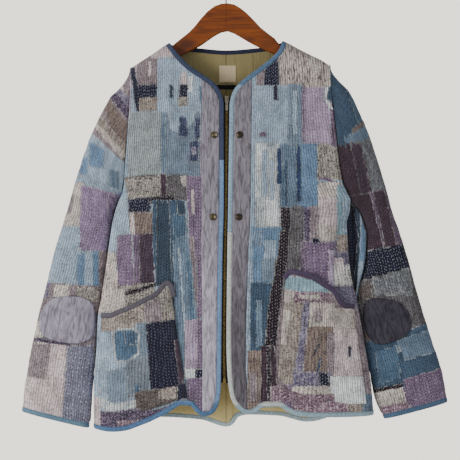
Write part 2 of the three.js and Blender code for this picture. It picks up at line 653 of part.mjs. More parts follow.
// The back with its lining, neck binding and hem binding
function buildBack() {
  const neck = edgeHeight(movedEdge(BACK_NECK, -BINDING_WIDTH));
  const hem = edgeHeight(movedEdge(BACK_HEM, BINDING_WIDTH));
  const columns = backColumns();
  const last = columns.length - 1;
  const sideOf = (share) => SIDES[share < 0 ? 0 : 1];
  const ends = columns.map((share, j) => {
    const side = sideOf(share);
    const columnX = (z) => share * backReach(side, z);
    const atNeck = j > SHOULDER_COLUMNS && j < last - SHOULDER_COLUMNS;
    const seam = (x) => shoulderZ(side, x);
    return {
      side,
      columnX,
      low: meet(columnX, hem, HEM_GUESS),
      high: meet(columnX, atNeck ? neck : seam, TOP_GUESS),
    };
  });
  const grid = [];
  for (let i = 0; i < ROW_COUNT; i += 1) {
    grid.push(ends.map(({ side, columnX, low, high }) => {
      const z = rowHeight(i, low, high);
      return new THREE.Vector3(columnX(z), backY(side, columnX(z), z), z);
    }));
  }
  const onShoulder = (i, j) => i === TOP_ROW && (j <= SHOULDER_COLUMNS || j >= last - SHOULDER_COLUMNS);
  const onSide = (j) => j === 0 || j === last;
  const flatten = (i, j) => (onShoulder(i, j) || (onSide(j) && grid[i][j].y < 1) ? "y" : null);
  const outward = (i, j) => {
    if (onShoulder(i, j)) return new THREE.Vector3(0, 0, 1);
    return onSide(j) ? new THREE.Vector3(j === 0 ? -1 : 1, 0.5, 0) : new THREE.Vector3(0, 1, 0);
  };
  const normals = gridNormals(grid, false, outward, flatten);
  const inside = (i, j) => i > 0 && i < TOP_ROW && j > 0 && j < last;
  const raised = movedGrid(grid, normals, (i, j) => (inside(i, j) && j % 2 ? RIDGE : 0));
  addMesh("back", shell(raised, movedGrid(grid, normals, -WALL), false), "#8790a6");

  const middle = (rows) => rows.map((row) => row.slice(LINING_SKIP, row.length - LINING_SKIP));
  const liningNormals = middle(normals);
  const liningOut = WALL + SEAM + LINING_EASE;
  const lining = shell(movedGrid(middle(grid), liningNormals, -liningOut),
    movedGrid(middle(grid), liningNormals, -liningOut - LINING), false);
  addMesh("back_lining", lining, "#a89c68");

  const neckPath = [];
  for (let j = SHOULDER_COLUMNS; j <= last - SHOULDER_COLUMNS; j += 1) neckPath.push([TOP_ROW, j]);
  addMesh("back_neck_binding",
    edgeBinding(neckPath.map(([i, j]) => grid[i][j]), neckPath.map(([i, j]) => normals[i][j]), 1),
    "#3d4a70");
  const hemPath = grid[0].map((point, j) => [0, j]);
  addMesh("back_hem_binding",
    edgeBinding(hemPath.map(([i, j]) => grid[i][j]), hemPath.map(([i, j]) => normals[i][j]), -1),
    "#a9bfca");
}

// Flat piece laid on the inside of the back
function insideBack(name, left, right, top, bottom, columns, thick, color) {
  const behind = WALL + SEAM + LINING + INSIDE_LIFT;
  const rows = 2;
  const layer = (extra) => {
    const grid = [];
    for (let i = 0; i <= rows; i += 1) {
      const z = bottom + ((top - bottom) * i) / rows;
      const row = [];
      for (let j = 0; j <= columns; j += 1) {
        const x = left + ((right - left) * j) / columns;
        row.push(new THREE.Vector3(x, backY(SIDES[x < 0 ? 0 : 1], x, z) - behind - extra, z));
      }
      grid.push(row);
    }
    return grid;
  };
  addMesh(name, shell(layer(0), layer(thick), false), color);
}

function signedPower(value, power) {
  return Math.sign(value) * Math.abs(value) ** power;
}

// Point on a sleeve's face; turn 0 is the outer edge, 0.5 the inner edge, 0.75 the front
function sleevePoint(side, ring, turn) {
  const rows = SLEEVES[side.name];
  const value = (column) => along(rows, "ring", column, ring);
  const innerX = backReach(side, value("innerZ")) + value("away");
  const angle = turn * 2 * Math.PI;
  const power = 2 / SLEEVE_POWER;
  const across = signedPower(Math.cos(angle), power);
  const z = (value("outerZ") + value("innerZ")) / 2 + ((value("outerZ") - value("innerZ")) / 2) * across;
  let x = (value("outerX") + innerX) / 2 + ((value("outerX") - innerX) / 2) * across;
  if (ring < 1) x += (1 - ring) * (backReach(side, z) + ARMHOLE_GAP - x);
  const y = value("back") + value("half") * signedPower(Math.sin(angle), power);
  return new THREE.Vector3(side.sign * x, y, z);
}

function sleeveMiddle(side, ring) {
  return sleevePoint(side, ring, 0).add(sleevePoint(side, ring, 0.5)).multiplyScalar(0.5);
}

function buildSleeve(side) {
  const lastRing = SLEEVES[side.name].length - 1;
  const rings = [];
  const grid = [];
  for (let i = 0; i < SLEEVE_RINGS; i += 1) {
    const ring = (lastRing * i) / (SLEEVE_RINGS - 1);
    rings.push(ring);
    const row = [];
    for (let j = 0; j < SLEEVE_SIDES; j += 1) row.push(sleevePoint(side, ring, j / SLEEVE_SIDES));
    grid.push(row);
  }
  const outward = (i, j) => grid[i][j].clone().sub(sleeveMiddle(side, rings[i]));
  const normals = gridNormals(grid, true, outward, (i) => (i === 0 ? "x" : null));
  const raised = movedGrid(grid, normals,
    (i, j) => (i > 0 && i < SLEEVE_RINGS - 1 && j % 2 && j !== SLEEVE_SIDES / 2 ? RIDGE : 0));
  addMesh(`sleeve_${side.name}`, shell(raised, movedGrid(grid, normals, -WALL), true), "#7d8097");

  const end = SLEEVE_RINGS - 1;
  const stations = grid[end].map((point, j) => {
    const down = point.clone().sub(grid[end - 1][j]).normalize();
    return {
      centre: point.clone().addScaledVector(down, BINDING_WIDTH / 2 + SEAM)
        .addScaledVector(normals[end][j], -WALL / 2),
      side: down,
      face: normals[end][j],
    };
  });
  addMesh(`cuff_binding_${side.name}`, bar(stations, BINDING_WIDTH, BINDING_HEIGHT, true), "#6383a0");
}

// Oval patch on the sleeve, from a square grid pressed into an oval
function buildElbow(side) {
  const place = ELBOWS[side.name];
  const steps = ELBOW_STEPS;
  const layer = (height) => {
    const grid = [];
    for (let i = 0; i <= steps; i += 1) {
      const row = [];
      for (let j = 0; j <= steps; j += 1) {
        const a = (2 * i) / steps - 1;
        const b = (2 * j) / steps - 1;
        const ring = place.ring + place.rings * a * Math.sqrt(1 - (b * b) / 2);
        const turn = place.turn + place.turns * b * Math.sqrt(1 - (a * a) / 2);
        const point = sleevePoint(side, ring, turn);
        const lengthwise = sleevePoint(side, ring + 0.05, turn).sub(point);
        const crosswise = sleevePoint(side, ring, turn + 0.01).sub(point);
        const normal = lengthwise.cross(crosswise).normalize();
        if (normal.dot(point.clone().sub(sleeveMiddle(side, ring))) < 0) normal.negate();
        row.push(point.addScaledVector(normal, height));
      }
      grid.push(row);
    }
    return grid;
  };
  const low = CLEAR + ELBOW_LIFT;
  addMesh(`elbow_patch_${side.name}`, shell(layer(low + ELBOW_THICK), layer(low), false), "#6f6c7c");
}

function onFront(side, x, z, height) {
  return frontPoint(side, x, z).addScaledVector(frontNormal(side, x, z), height);
}

function buildPocket(side) {
  const rows = POCKETS[side.name];
  const last = rows.length - 1;
  const layer = (extra) => {
    const grid = [];
    for (let i = 0; i <= POCKET_ROWS; i += 1) {
      const up = i / POCKET_ROWS;
      grid.push(rows.map((strip, j) => {
        const x = strip.bottomX + (strip.topX - strip.bottomX) * up;
        const z = strip.bottomZ + (strip.topZ - strip.bottomZ) * up;
        const gape = POCKET_GAPE * up ** 2 * Math.sin((Math.PI * j) / last);
        return onFront(side, x, z, CLEAR + gape + extra);
      }));
    }
    return grid;
  };
  addMesh(`pocket_${side.name}`, shell(layer(POCKET_WALL), layer(0), false), "#8d8f9e");

  const stations = rows.map((strip, j) => {
    const before = rows[Math.max(j - 1, 0)];
    const after = rows[Math.min(j + 1, last)];
    const gape = POCKET_GAPE * Math.sin((Math.PI * j) / last);
    const face = frontNormal(side, strip.topX, strip.topZ);
    const middle = CLEAR + gape + (POCKET_WALL + MOUTH_EXTRA) / 2;
    const top = onFront(side, strip.topX, strip.topZ, middle);
    const ahead = onFront(side, after.topX, after.topZ, 0).sub(onFront(side, before.topX, before.topZ, 0));
    const upward = new THREE.Vector3().crossVectors(ahead, face).normalize();
    if (upward.z < 0) upward.negate();
    top.addScaledVector(upward, MOUTH_WIDTH / 2 + SEAM + INSIDE_LIFT);
    return { centre: top, side: upward, face };
  });
  const mouth = bar(stations, MOUTH_WIDTH, POCKET_WALL + MOUTH_EXTRA, false);
  addMesh(`pocket_binding_${side.name}`, mouth, "#77728a");
}

// The light cloth that folds out between the left front and the left back
function buildGusset() {
  const side = SIDES[1];
  const rows = 8;
  const columns = 6;
  const layer = (depth) => {
    const grid = [];
    for (let i = 0; i <= rows; i += 1) {
      const z = GUSSET.bottom + ((GUSSET.top - GUSSET.bottom) * i) / rows;
      const start = along(BODY_SIDES, "z", "left", z) + GUSSET.start;
      const end = backReach(side, z) - GUSSET.end;
      const row = [];
      for (let j = 0; j <= columns; j += 1) {
        const s = j / columns;
        const y = along(GUSSET_SECTION, "s", "y", s) + depth;
        row.push(new THREE.Vector3(start + (end - start) * s, y, z));
      }
      grid.push(row);
    }
    return grid;
  };
  const back = WALL / 2 - GUSSET.thinner;
  addMesh("gusset_left", shell(layer(-WALL / 2), layer(back), false), "#86a9cf");
}

function zipX(z) {
  return (along(FRONT_EDGES, "z", "right", z) + along(FRONT_EDGES, "z", "left", z)) / 2;
}

function zipY(z) {
  return frontY(SIDES[0], 0, z);
}

// Tapes, slider, pull and the box at the bottom
function buildZip() {
  const rows = 14;
  const gap = 0.2;
  for (const side of SIDES) {
    const layer = (depth) => {
      const grid = [];
      for (let i = 0; i <= rows; i += 1) {
        const z = TAPE_BOTTOM + ((TAPE_TOP - TAPE_BOTTOM) * i) / rows;
        const near = zipX(z) + side.sign * gap;
        const far = zipX(z) + side.sign * TAPE_WIDTH;
        grid.push([near, far].map((x) => new THREE.Vector3(x, zipY(z) + depth, z)));
      }
      return grid;
    };
    addMesh(`zip_tape_${side.name}`,
      shell(layer(TAPE_BEHIND), layer(TAPE_BEHIND + TAPE_THICK), false), "#16171a");
  }
  addMesh("zip_slider", sliderGeometry(), "#8b8672", 0.4, 0.9);
  addMesh("zip_pull", pullGeometry(), "#85826f", 0.4, 0.9);
  for (const name of ["zip_slider", "zip_pull"]) {
    const mesh = group.getObjectByName(name);
    const z = SLIDER_TOP - SLIDER_HEIGHT / 2;
    mesh.position.set(zipX(z), zipY(z), z);
    const step = SLIDER_HEIGHT / 2;
    mesh.rotation.x = Math.atan((zipY(z - step) - zipY(z + step)) / (2 * step));
  }
  const boxZ = TAPE_BOTTOM + ZIP_BOX.lift;
  const box = new THREE.BoxGeometry(ZIP_BOX.width, ZIP_BOX.depth, ZIP_BOX.height);
  const boxMesh = addMesh("zip_box", box, "#8a7c52", 0.4, 0.9);
  boxMesh.position.set(zipX(boxZ), zipY(boxZ) + TAPE_BEHIND - ZIP_BOX.ahead, boxZ);
}

// A closed outline in the y, z plane, made solid across a width and centred on x 0
function acrossX(outline, width, holes = []) {
  const shape = new THREE.Shape(outline.map(([y, z]) => new THREE.Vector2(y, z)));
  for (const hole of holes) shape.holes.push(new THREE.Path(hole.map(([y, z]) => new THREE.Vector2(y, z))));
  const geometry = new THREE.ExtrudeGeometry(shape, { depth: width, bevelEnabled: false });
  geometry.translate(0, 0, -width / 2);
  const turned = new THREE.Matrix4().makeBasis(
    new THREE.Vector3(0, 1, 0), new THREE.Vector3(0, 0, 1), new THREE.Vector3(1, 0, 0));
  geometry.applyMatrix4(turned);
  return geometry;
}

function asManifold(geometry) {
  const plain = geometry.clone();
  plain.deleteAttribute("normal");
  plain.deleteAttribute("uv");
  const merged = mergeVertices(plain, 1e-5);
  return new wasm.Manifold(new wasm.Mesh({
    numProp: 3,
    vertProperties: Float32Array.from(merged.attributes.position.array),
    triVerts: Uint32Array.from(merged.index.array),
  }));
}

function fromManifold(solid) {
  const mesh = solid.getMesh();
  const geometry = new THREE.BufferGeometry();
  geometry.setAttribute("position", new THREE.BufferAttribute(mesh.vertProperties, 3));
  geometry.setIndex(new THREE.BufferAttribute(mesh.triVerts, 1));
  geometry.computeVertexNormals();
  return geometry;
}

// The slider clasps the top of the tapes and carries the arch that holds the pull
function sliderGeometry() {
  const half = SLIDER_HEIGHT / 2;
  const slack = 0.5;
  const front = 0.6;
  const faceBack = TAPE_BEHIND - slack;
  const backFace = TAPE_BEHIND + TAPE_THICK + slack;
  const back = backFace + 1.6;
  const bridge = half - 2.4;
  const clasp = acrossX([
    [front, -half], [faceBack, -half], [faceBack, bridge], [backFace, bridge],
    [backFace, -half], [back, -half], [back, half], [front, half],
  ], SLIDER_WIDTH);
  const archHalf = 3.8;
  const corner = 0.9;
  const foot = front + 0.8;
  const eyeHalf = 2.6;
  const eyeTop = ARCH_REACH + 1.2;
  const archWidth = 1.6;
  const arch = acrossX([
    [foot, -archHalf], [foot, archHalf], [ARCH_REACH + corner, archHalf], [ARCH_REACH, archHalf - corner],
    [ARCH_REACH, corner - archHalf], [ARCH_REACH + corner, -archHalf],
  ], archWidth, [[[front, -eyeHalf], [front, eyeHalf], [eyeTop, eyeHalf], [eyeTop, -eyeHalf]]]);
  return fromManifold(asManifold(clasp).add(asManifold(arch)));
}

// The pull hangs from its top bar, which passes under the arch
function pullGeometry() {
  const half = PULL_WIDTH / 2;
  const edge = PULL_THICK / 2;
  const outline = new THREE.Shape();
  outline.moveTo(-half, edge);
  outline.lineTo(-half, -PULL_LENGTH + half);
  outline.absarc(0, -PULL_LENGTH + half, half, Math.PI, 2 * Math.PI, false);
  outline.lineTo(half, edge);
  outline.closePath();
  const eye = new THREE.Path();
  eye.moveTo(-PULL_EYE.half, -edge);
  eye.lineTo(-PULL_EYE.half, PULL_EYE.bottom);
  eye.lineTo(PULL_EYE.half, PULL_EYE.bottom);
  eye.lineTo(PULL_EYE.half, -edge);
  eye.closePath();
  outline.holes.push(eye);
  const geometry = new THREE.ExtrudeGeometry(outline, {
    depth: PULL_THICK, bevelEnabled: false, curveSegments: 6,
  });
  geometry.translate(0, 0, -PULL_THICK / 2);
  geometry.rotateX(Math.PI / 2);
  geometry.translate(0, AXIS_Y, 0);
  return geometry;
}

// A socket with a raised rim, or a domed cap, on the placket
function buildSnap(snap) {
  const side = SIDES[snap.x < 0 ? 0 : 1];
  const lift = 0.45;
  const r = SNAP_RADIUS;
  const profile = snap.recessed
    ? [[0, 0], [r, 0], [r, 0.9], [r - 0.8, 1.7], [r - 2.2, 1.7], [r - 3, 0.8], [0, 0.8]]
    : [[0, 0], [r, 0], [r, 0.6], [r - 1, 1.6], [r - 3, 2.2], [0, 2.5]];
  const geometry = new THREE.LatheGeometry(profile.map(([x, y]) => new THREE.Vector2(x, y)), 14);
  const mesh = addMesh(snap.name, geometry, snap.recessed ? "#8c7b58" : "#3b3833", 0.45, 0.85);
  const face = frontNormal(side, snap.x, snap.z);
  mesh.position.copy(onFront(side, snap.x, snap.z, RIDGE + SEAM + PLACKET_HEIGHT + lift));
  mesh.quaternion.setFromUnitVectors(new THREE.Vector3(0, 1, 0), face);
}

// Flat wooden hanger and the bent rod of its hook
function buildHanger() {
  const outline = new THREE.Shape();
  const steps = WOOD_STEPS;
  const first = HANGER[0].x;
  const reach = HANGER[HANGER.length - 1].x - first;
  for (let i = 0; i <= steps; i += 1) {
    const x = first + (reach * i) / steps;
    const z = along(HANGER, "x", "top", x);
    if (i === 0) outline.moveTo(x, z);
    else outline.lineTo(x, z);
  }
  for (let i = steps; i >= 0; i -= 1) {
    const x = first + (reach * i) / steps;
    outline.lineTo(x, along(HANGER, "x", "bottom", x));
  }
  outline.closePath();
  const depth = WOOD_THICK - 2 * WOOD_BEVEL;
  const geometry = new THREE.ExtrudeGeometry(outline, {
    depth, bevelThickness: WOOD_BEVEL, bevelSize: WOOD_BEVEL, bevelOffset: -WOOD_BEVEL, bevelSegments: 1,
  });
  geometry.translate(0, 0, -depth / 2);
  geometry.rotateX(Math.PI / 2);
  addMesh("hanger", geometry, "#8a4a20", 0.45);

  const radius = HOOK_INNER + HOOK_ROD;
  const points = HOOK_FOOT.map((z) => new THREE.Vector3(0, 0, z));
  for (let i = 0; i <= HOOK_STEPS; i += 1) {
    const angle = THREE.MathUtils.degToRad(HOOK_START + HOOK_STEP * i);
    points.push(new THREE.Vector3(radius * Math.cos(angle), 0, -HOOK_INNER + radius * Math.sin(angle)));
  }
  const curve = new THREE.CatmullRomCurve3(points);
  const circle = new THREE.Shape();
  circle.absarc(0, 0, HOOK_ROD, 0, 2 * Math.PI, false);
  const hook = new THREE.ExtrudeGeometry(circle, { steps: 22, extrudePath: curve, curveSegments: 4 });
  addMesh("hanger_hook", hook, "#9a9690", 0.35, 1);
}

buildHanger();
buildBack();
insideBack("lining_tape", -NECK_TAPE.half, NECK_TAPE.half, NECK_TAPE.top, NECK_TAPE.bottom, 10,
  NECK_TAPE.thick, "#17171a");
insideBack("label", LABEL.left, LABEL.right, LABEL.top, LABEL.bottom, 3, LABEL.thick, "#cfc3a4");
for (const side of SIDES) {
  buildFront(side);
  buildSleeve(side);
  buildElbow(side);
  buildPocket(side);
}
buildGusset();
buildZip();
for (const snap of SNAPS) buildSnap(snap);

export default group;
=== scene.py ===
"""Looks of the patched jacket on its wooden hanger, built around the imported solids."""

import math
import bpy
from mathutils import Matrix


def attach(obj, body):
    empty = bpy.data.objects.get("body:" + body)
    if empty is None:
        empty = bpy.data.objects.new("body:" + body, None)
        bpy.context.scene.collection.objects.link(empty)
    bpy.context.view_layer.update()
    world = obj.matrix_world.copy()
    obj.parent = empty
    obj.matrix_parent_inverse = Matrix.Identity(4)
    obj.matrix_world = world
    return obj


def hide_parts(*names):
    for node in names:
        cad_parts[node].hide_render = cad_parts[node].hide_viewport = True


bl_info = {
    "name": "Patched jacket",
    "version": (1, 0, 0),
    "blender": (4, 5, 0),
    "location": "3D View > Sidebar > Jacket",
    "description": "Builds the quilted patchwork jacket and its hanger around the packed frame",
    "category": "Object",
}

import bmesh
import bpy
import numpy as np
from bpy.props import FloatProperty, FloatVectorProperty, PointerProperty
from mathutils import Euler, Matrix, Vector

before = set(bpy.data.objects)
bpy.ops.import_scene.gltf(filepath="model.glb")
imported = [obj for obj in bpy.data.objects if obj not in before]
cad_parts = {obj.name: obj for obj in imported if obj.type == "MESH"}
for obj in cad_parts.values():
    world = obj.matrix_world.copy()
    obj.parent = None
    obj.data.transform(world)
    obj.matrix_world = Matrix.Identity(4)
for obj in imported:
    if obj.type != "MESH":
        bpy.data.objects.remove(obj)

MM = 0.001
SIGN = {"right": -1.0, "left": 1.0}
SIDES = ("right", "left")
WALL = 2.5
LINING = 1.0
BINDING_WIDTH = 8.4
RIDGE_CLEAR = 1.1  # pieces laid on the quilting start this far above its face
SHOULDER_ROUND = 24
ARMHOLE_DEPTH = 22
BACK_SHARE = 0.85
NECK_POINT = 102 + BINDING_WIDTH
ARMHOLE_GAP = 1.2
ROLL = 30
THINNEST = 0.15  # half depth of the body at its seams
SNAP_CLEAR = 2.25  # the snaps' base above the fronts' face
RING_MM = 66.0  # length of a sleeve from ring to ring
LOWEST_RISE, HIGHEST_RISE = -0.4, 0.95
PATCH_LIFT = 0.45
OVERLAP = 0.4  # how far a binding reaches over the edge that it binds
SEWN_INSET = 1.6  # from a binding's inner edge to its sewn line
BINDING_BAR, CUFF_BAR = (9.2, 4.4), (9.4, 4.2)  # width and thickness
LINING_SLOT = 9  # past a piece's last material, which is then taken
PLACKET_COLUMNS, NECK_COLUMNS, SHOULDER_COLUMNS = 8, 60, 55
# Columns between and beside the neck points, rows, and rows where the cloth rolls over the shoulder
BACK_GRID = (96, 92, 196, 12)
LINING_GRID = (60, 60, 110, 10)
BACK_SEED = 37
FORWARD = np.array([0.0, -1.0, 0.0])


def table(columns, rows):
    """Named columns of numbers from the rows given."""
    names = columns.split()
    return {name: np.array([row[k] for row in rows], float) for k, name in enumerate(names)}


# Half width of the body at each height, in millimetres like every table of the form
BODY_SIDES = table("z right left behind", [
    (-120, 173, 187, 187), (-206, 173.5, 189.5, 189.5), (-244, 174.5, 193, 193),
    (-280, 177, 197, 197), (-318, 179.5, 201, 201), (-345, 182, 204.5, 204.5),
    (-381, 184.5, 211, 211), (-398, 188.5, 219, 219), (-416, 196, 226.5, 228),
    (-430, 201, 226, 241), (-454, 207, 220, 250), (-474, 210, 221, 255), (-508, 215, 223, 254),
    (-537, 219, 226, 250), (-571, 224, 232, 241), (-590, 227, 237.5, 238), (-620, 233, 243, 243),
    (-683, 236, 254, 254), (-758, 241, 265, 265), (-830, 240, 270, 270),
])
SHOULDERS = table("x right left", [
    (0, -97, -97), (60, -112, -110), (102, -127, -123), (142, -153, -143), (174, -173, -159),
    (187, -181, -167),
])
BODY_DEPTH = table("z half", [
    (-100, 20), (-200, 22), (-300, 26), (-420, 31), (-600, 36), (-830, 40),
])
FRONT_EDGES = table("z right left placket", [
    (-236, -3.6, 6.3, 32), (-412, -3.8, 3.9, 32), (-520, -6.3, 2.2, 29), (-665, -8.1, 0.8, 26),
    (-710, -8.6, 1.8, 25), (-750, -9, 4.6, 25),
])
NECKLINES = {
    "right": [(-2.7, -236), (-9, -218), (-20, -202), (-36, -190), (-63, -172), (-81, -155),
              (-95, -138), (-102, -127)],
    "left": [(6, -236), (14, -213), (29, -197), (58, -175), (83, -155), (97, -139), (102, -123)],
}
HEMS = {
    "right": [(-9, -752), (-12, -776), (-21, -794), (-31, -800), (-46, -799), (-64, -781),
              (-80, -780), (-97, -790), (-135, -810), (-155, -818), (-180, -827), (-208, -830),
              (-240, -826)],
    "left": [(4, -745), (9, -771), (21, -787), (36, -797), (50, -796), (66, -784), (95, -783),
             (112, -794), (130, -800), (170, -803), (220, -803), (270, -802)],
}
BACK_NECK = [(-102, -127), (-85, -131), (-50, -134), (0, -138), (55, -134), (88, -129), (102, -123)]
BACK_HEM = [(-240, -826), (-200, -818), (-128, -811), (-47, -816), (5, -830), (22, -811),
            (41, -807), (97, -809), (149, -820), (171, -817), (205, -805), (270, -802)]
SLEEVE_COLUMNS = "ring outerX outerZ innerZ away half back"
SLEEVES = {
    "right": table(SLEEVE_COLUMNS, [
        (0, 173.5, -172, -398, 0.5, 22, 0), (1, 209, -224, -403, 1.6, 22, 1),
        (2, 248, -301, -418, 2.2, 21, 3), (3, 270, -364, -440, 2.2, 20, 5),
        (4, 293, -443, -476, 2.2, 20, 6), (5, 311, -501, -516, 2.2, 20, 7),
        (6, 328, -569, -576, 2.2, 20, 7), (7, 344, -634, -646, 2.2, 19, 6),
        (8, 356, -692, -708, 2.4, 18, 5), (9, 365, -744, -766, 4, 17, 4),
        (10, 370, -788, -818, 9, 17, 3),
    ]),
    "left": table(SLEEVE_COLUMNS, [
        (0, 187.5, -167, -416, 0.5, 22, 0), (1, 222, -212, -423, 2, 22, 1),
        (2, 257, -287, -434, 2.4, 21, 4), (3, 282, -361, -450, 2.4, 20, 7),
        (4, 305, -437, -478, 2.4, 20, 9), (5, 328, -506, -524, 2.4, 20, 10),
        (6, 348, -580, -590, 2.4, 20, 9), (7, 366, -640, -656, 2.4, 19, 8),
        (8, 383, -692, -716, 2.6, 18, 6), (9, 393, -727, -762, 5, 17, 4),
        (10, 401, -771, -802, 17, 17, 3),
    ]),
}
# Folds: from x1, z1 to x2, z2, with height and width
FRONT_FOLDS = [
    (-178, -400, -150, -560, 4, 16), (-205, -450, -190, -590, -3.5, 14),
    (-150, -190, -160, -330, -2.5, 14), (-95, -230, -100, -420, 2, 24),
    (160, -200, 186, -380, -3, 15), (200, -400, 180, -560, 4, 14),
    (120, -400, 132, -540, -2.5, 16), (80, -640, 70, -770, 2.5, 15),
]
BACK_FOLDS = [
    (-150, -380, -120, -640, 4, 20), (-60, -260, -75, -480, -2.5, 18), (20, -520, 10, -800, 4, 18),
    (90, -300, 110, -560, -3, 20), (175, -420, 150, -660, 4, 18),
]
# Narrower creases that only the looks carry
CREASES = [
    (-176, -300, -168, -420, -1.6, 5), (-192, -440, -176, -560, 1.5, 5),
    (-140, -330, -133, -470, 1.0, 5), (-168, -196, -176, -262, -1.2, 5),
    (-110, -250, -118, -380, -0.9, 6), (-64, -420, -60, -560, 0.8, 5),
    (-96, -800, -150, -812, 1.2, 6), (-205, -700, -212, -800, 1.2, 6),
    (178, -190, 196, -330, -1.6, 5), (190, -300, 204, -400, 1.4, 5),
    (208, -430, 196, -560, -1.5, 5), (140, -300, 150, -430, 0.9, 6),
    (76, -300, 80, -440, -0.8, 5), (66, -470, 58, -640, 0.9, 6),
    (215, -660, 226, -780, 1.3, 6), (110, -790, 190, -796, 1.0, 6),
]
BACK_CREASES = [
    (-168, -200, -176, -330, -1.6, 6), (-120, -180, -100, -300, 1.2, 7),
    (30, -170, 10, -330, -1.2, 7), (176, -220, 186, -380, -1.6, 6), (-200, -460, -188, -620, 1.5, 6),
    (70, -560, 52, -740, 1.4, 7), (205, -560, 218, -740, 1.4, 6), (-90, -660, -84, -800, -1.2, 7),
]
# Sleeve creases: from ring1, turn1 to ring2, turn2, with height and width in millimetres
SLEEVE_CREASES = [
    (1.2, 0.62, 3.0, 0.80, -1.8, 7), (2.0, 0.58, 4.4, 0.72, 1.8, 7), (4.6, 0.56, 5.2, 0.84, -1.6, 6),
    (5.5, 0.60, 5.9, 0.95, 1.5, 6), (6.1, 0.55, 6.3, 0.82, -1.6, 5), (7.7, 0.60, 8.0, 0.93, 1.3, 6),
    (8.6, 0.66, 9.7, 0.74, -1.2, 6), (2.5, 0.90, 4.5, 0.96, -1.3, 6), (0.6, 0.86, 2.0, 0.90, 1.2, 7),
    (3.2, 0.40, 4.6, 0.22, 1.7, 7), (5.2, 0.42, 5.8, 0.14, -1.6, 6), (6.4, 0.40, 6.8, 0.12, 1.5, 6),
    (8.2, 0.36, 9.4, 0.20, 1.2, 6), (1.0, 0.36, 2.6, 0.20, -1.6, 7),
]
POCKET_COLUMNS = "strip topX topZ bottomX bottomZ"
POCKETS = {
    "right": table(POCKET_COLUMNS, [
        (0, -97.5, -588, -68.5, -768), (1, -104.5, -566, -78, -768), (2, -121, -584, -104, -778),
        (3, -142, -596, -137, -788), (4, -167, -609, -166, -794), (5, -189, -618, -191, -798),
        (6, -209, -625, -213, -796), (7, -224, -625, -229, -776),
    ]),
    "left": table(POCKET_COLUMNS, [
        (0, 107, -556, 93, -728), (1, 118, -546, 113, -751), (2, 146, -553, 144, -764),
        (3, 173, -568, 173, -771), (4, 188, -578, 194, -775), (5, 199, -597, 214, -778),
        (6, 212, -607, 232, -780), (7, 230, -609, 253, -780),
    ]),
}
LAST_STRIP = 7
POCKET_WALL = 2.0
POCKET_GAPE = 8.0
MOUTH_WIDTH = 9
ELBOWS = {"right": (6.85, 0.64, 0.74, 0.18), "left": (6.7, 0.66, 0.69, 0.13)}
GUSSET_PROFILE = table("s y", [(0, 1.9), (0.3, 6), (0.55, 1), (0.8, -4.5), (1, -3.4)])
TAPE_BEHIND = 4.2
TAPE_WIDTH = 13
TAPE_TOP = -228.2
TAPE_BOTTOM = -741
LABEL_BOX = (-12.5, 18, -166, -197)
NECK_TAPE = (-74, 74, -201.5, -209.5)

# Wooden hanger's scuffs: centre x and z, reach along x and z in metres, and strength
SCUFFS = [
    (-0.073, -0.130, 0.020, 0.012, 0.85), (-0.030, -0.076, 0.010, 0.005, 0.5),
    (-0.047, -0.100, 0.009, 0.006, 0.45), (0.042, -0.121, 0.013, 0.006, 0.6),
    (0.072, -0.131, 0.014, 0.008, 0.4), (-0.082, -0.142, 0.016, 0.008, 0.7),
]
# Press snaps: node, x and z, and whether it is a ring socket rather than a domed cap
SNAPS = [
    ("snap_upper_right", -21.6, -296, True), ("snap_lower_right", -23.6, -443.5, True),
    ("snap_upper_left", 24.5, -295.5, False), ("snap_lower_left", 23.0, -443.5, False),
]
# Outlines of their metal: radius and height above the base
SNAP_RING = [
    (0.01, 1.0), (1.2, 1.0), (1.5, 1.7), (2.0, 1.9), (2.3, 0.9), (3.4, 0.8), (4.2, 1.6), (5.2, 1.9),
    (6.0, 1.4), (6.2, 0.5), (6.2, 0.0),
]
SNAP_DOME = [(0.01, 2.5), (1.8, 2.4), (3.4, 2.1), (4.8, 1.6), (5.7, 1.0), (6.2, 0.4), (6.2, 0.0)]
# Zip teeth: distance along the tape, size across, deep and high, and where they start and end
TOOTH_PITCH = 2.5
TOOTH_SIZE = (3.2, 1.5, 1.05)
TEETH_ABOVE_BOTTOM, TEETH_BELOW_TOP = 9, 11
# Colours of the pieced bindings and the linen: each height and the colour above it
RIGHT_BINDING = [(-340, "#3a4562"), (-775, "#6f90ba"), (-900, "#4f719c")]
LEFT_BINDING = [(-205, "#567394"), (-470, "#8aa5bd"), (-780, "#bfc8c8"), (-900, "#92aebf")]
RIGHT_LINEN = [(-520, "#8c8998"), (-900, "#b4b1c4")]
LEFT_LINEN = [(-560, "#827f8c"), (-900, "#625f6a")]
# Stage, in metres: the floor, the middle of the picture, and each lamp's place, size, power and colour
FLOOR_Z = -1.3
PICTURE_MIDDLE = (0.0072, -0.025, -0.4668)
PICTURE_PIXELS = 460
LAMPS = [
    ("window", (-2.3, -1.7, -0.35), 1.1, 58, "#fff9f0"),
    ("fill", (1.4, -2.3, -0.6), 1.6, 7, "#eef3fb"),
    ("rim", (0.2, 1.6, 0.4), 1.4, 11, "#ffffff"),
]

# Where the photograph's pixels lie in the plane of the front
PIXEL_MM = 1.8
MIDDLE_PIXEL = 226
TOP_EDGE_Z = -52.84


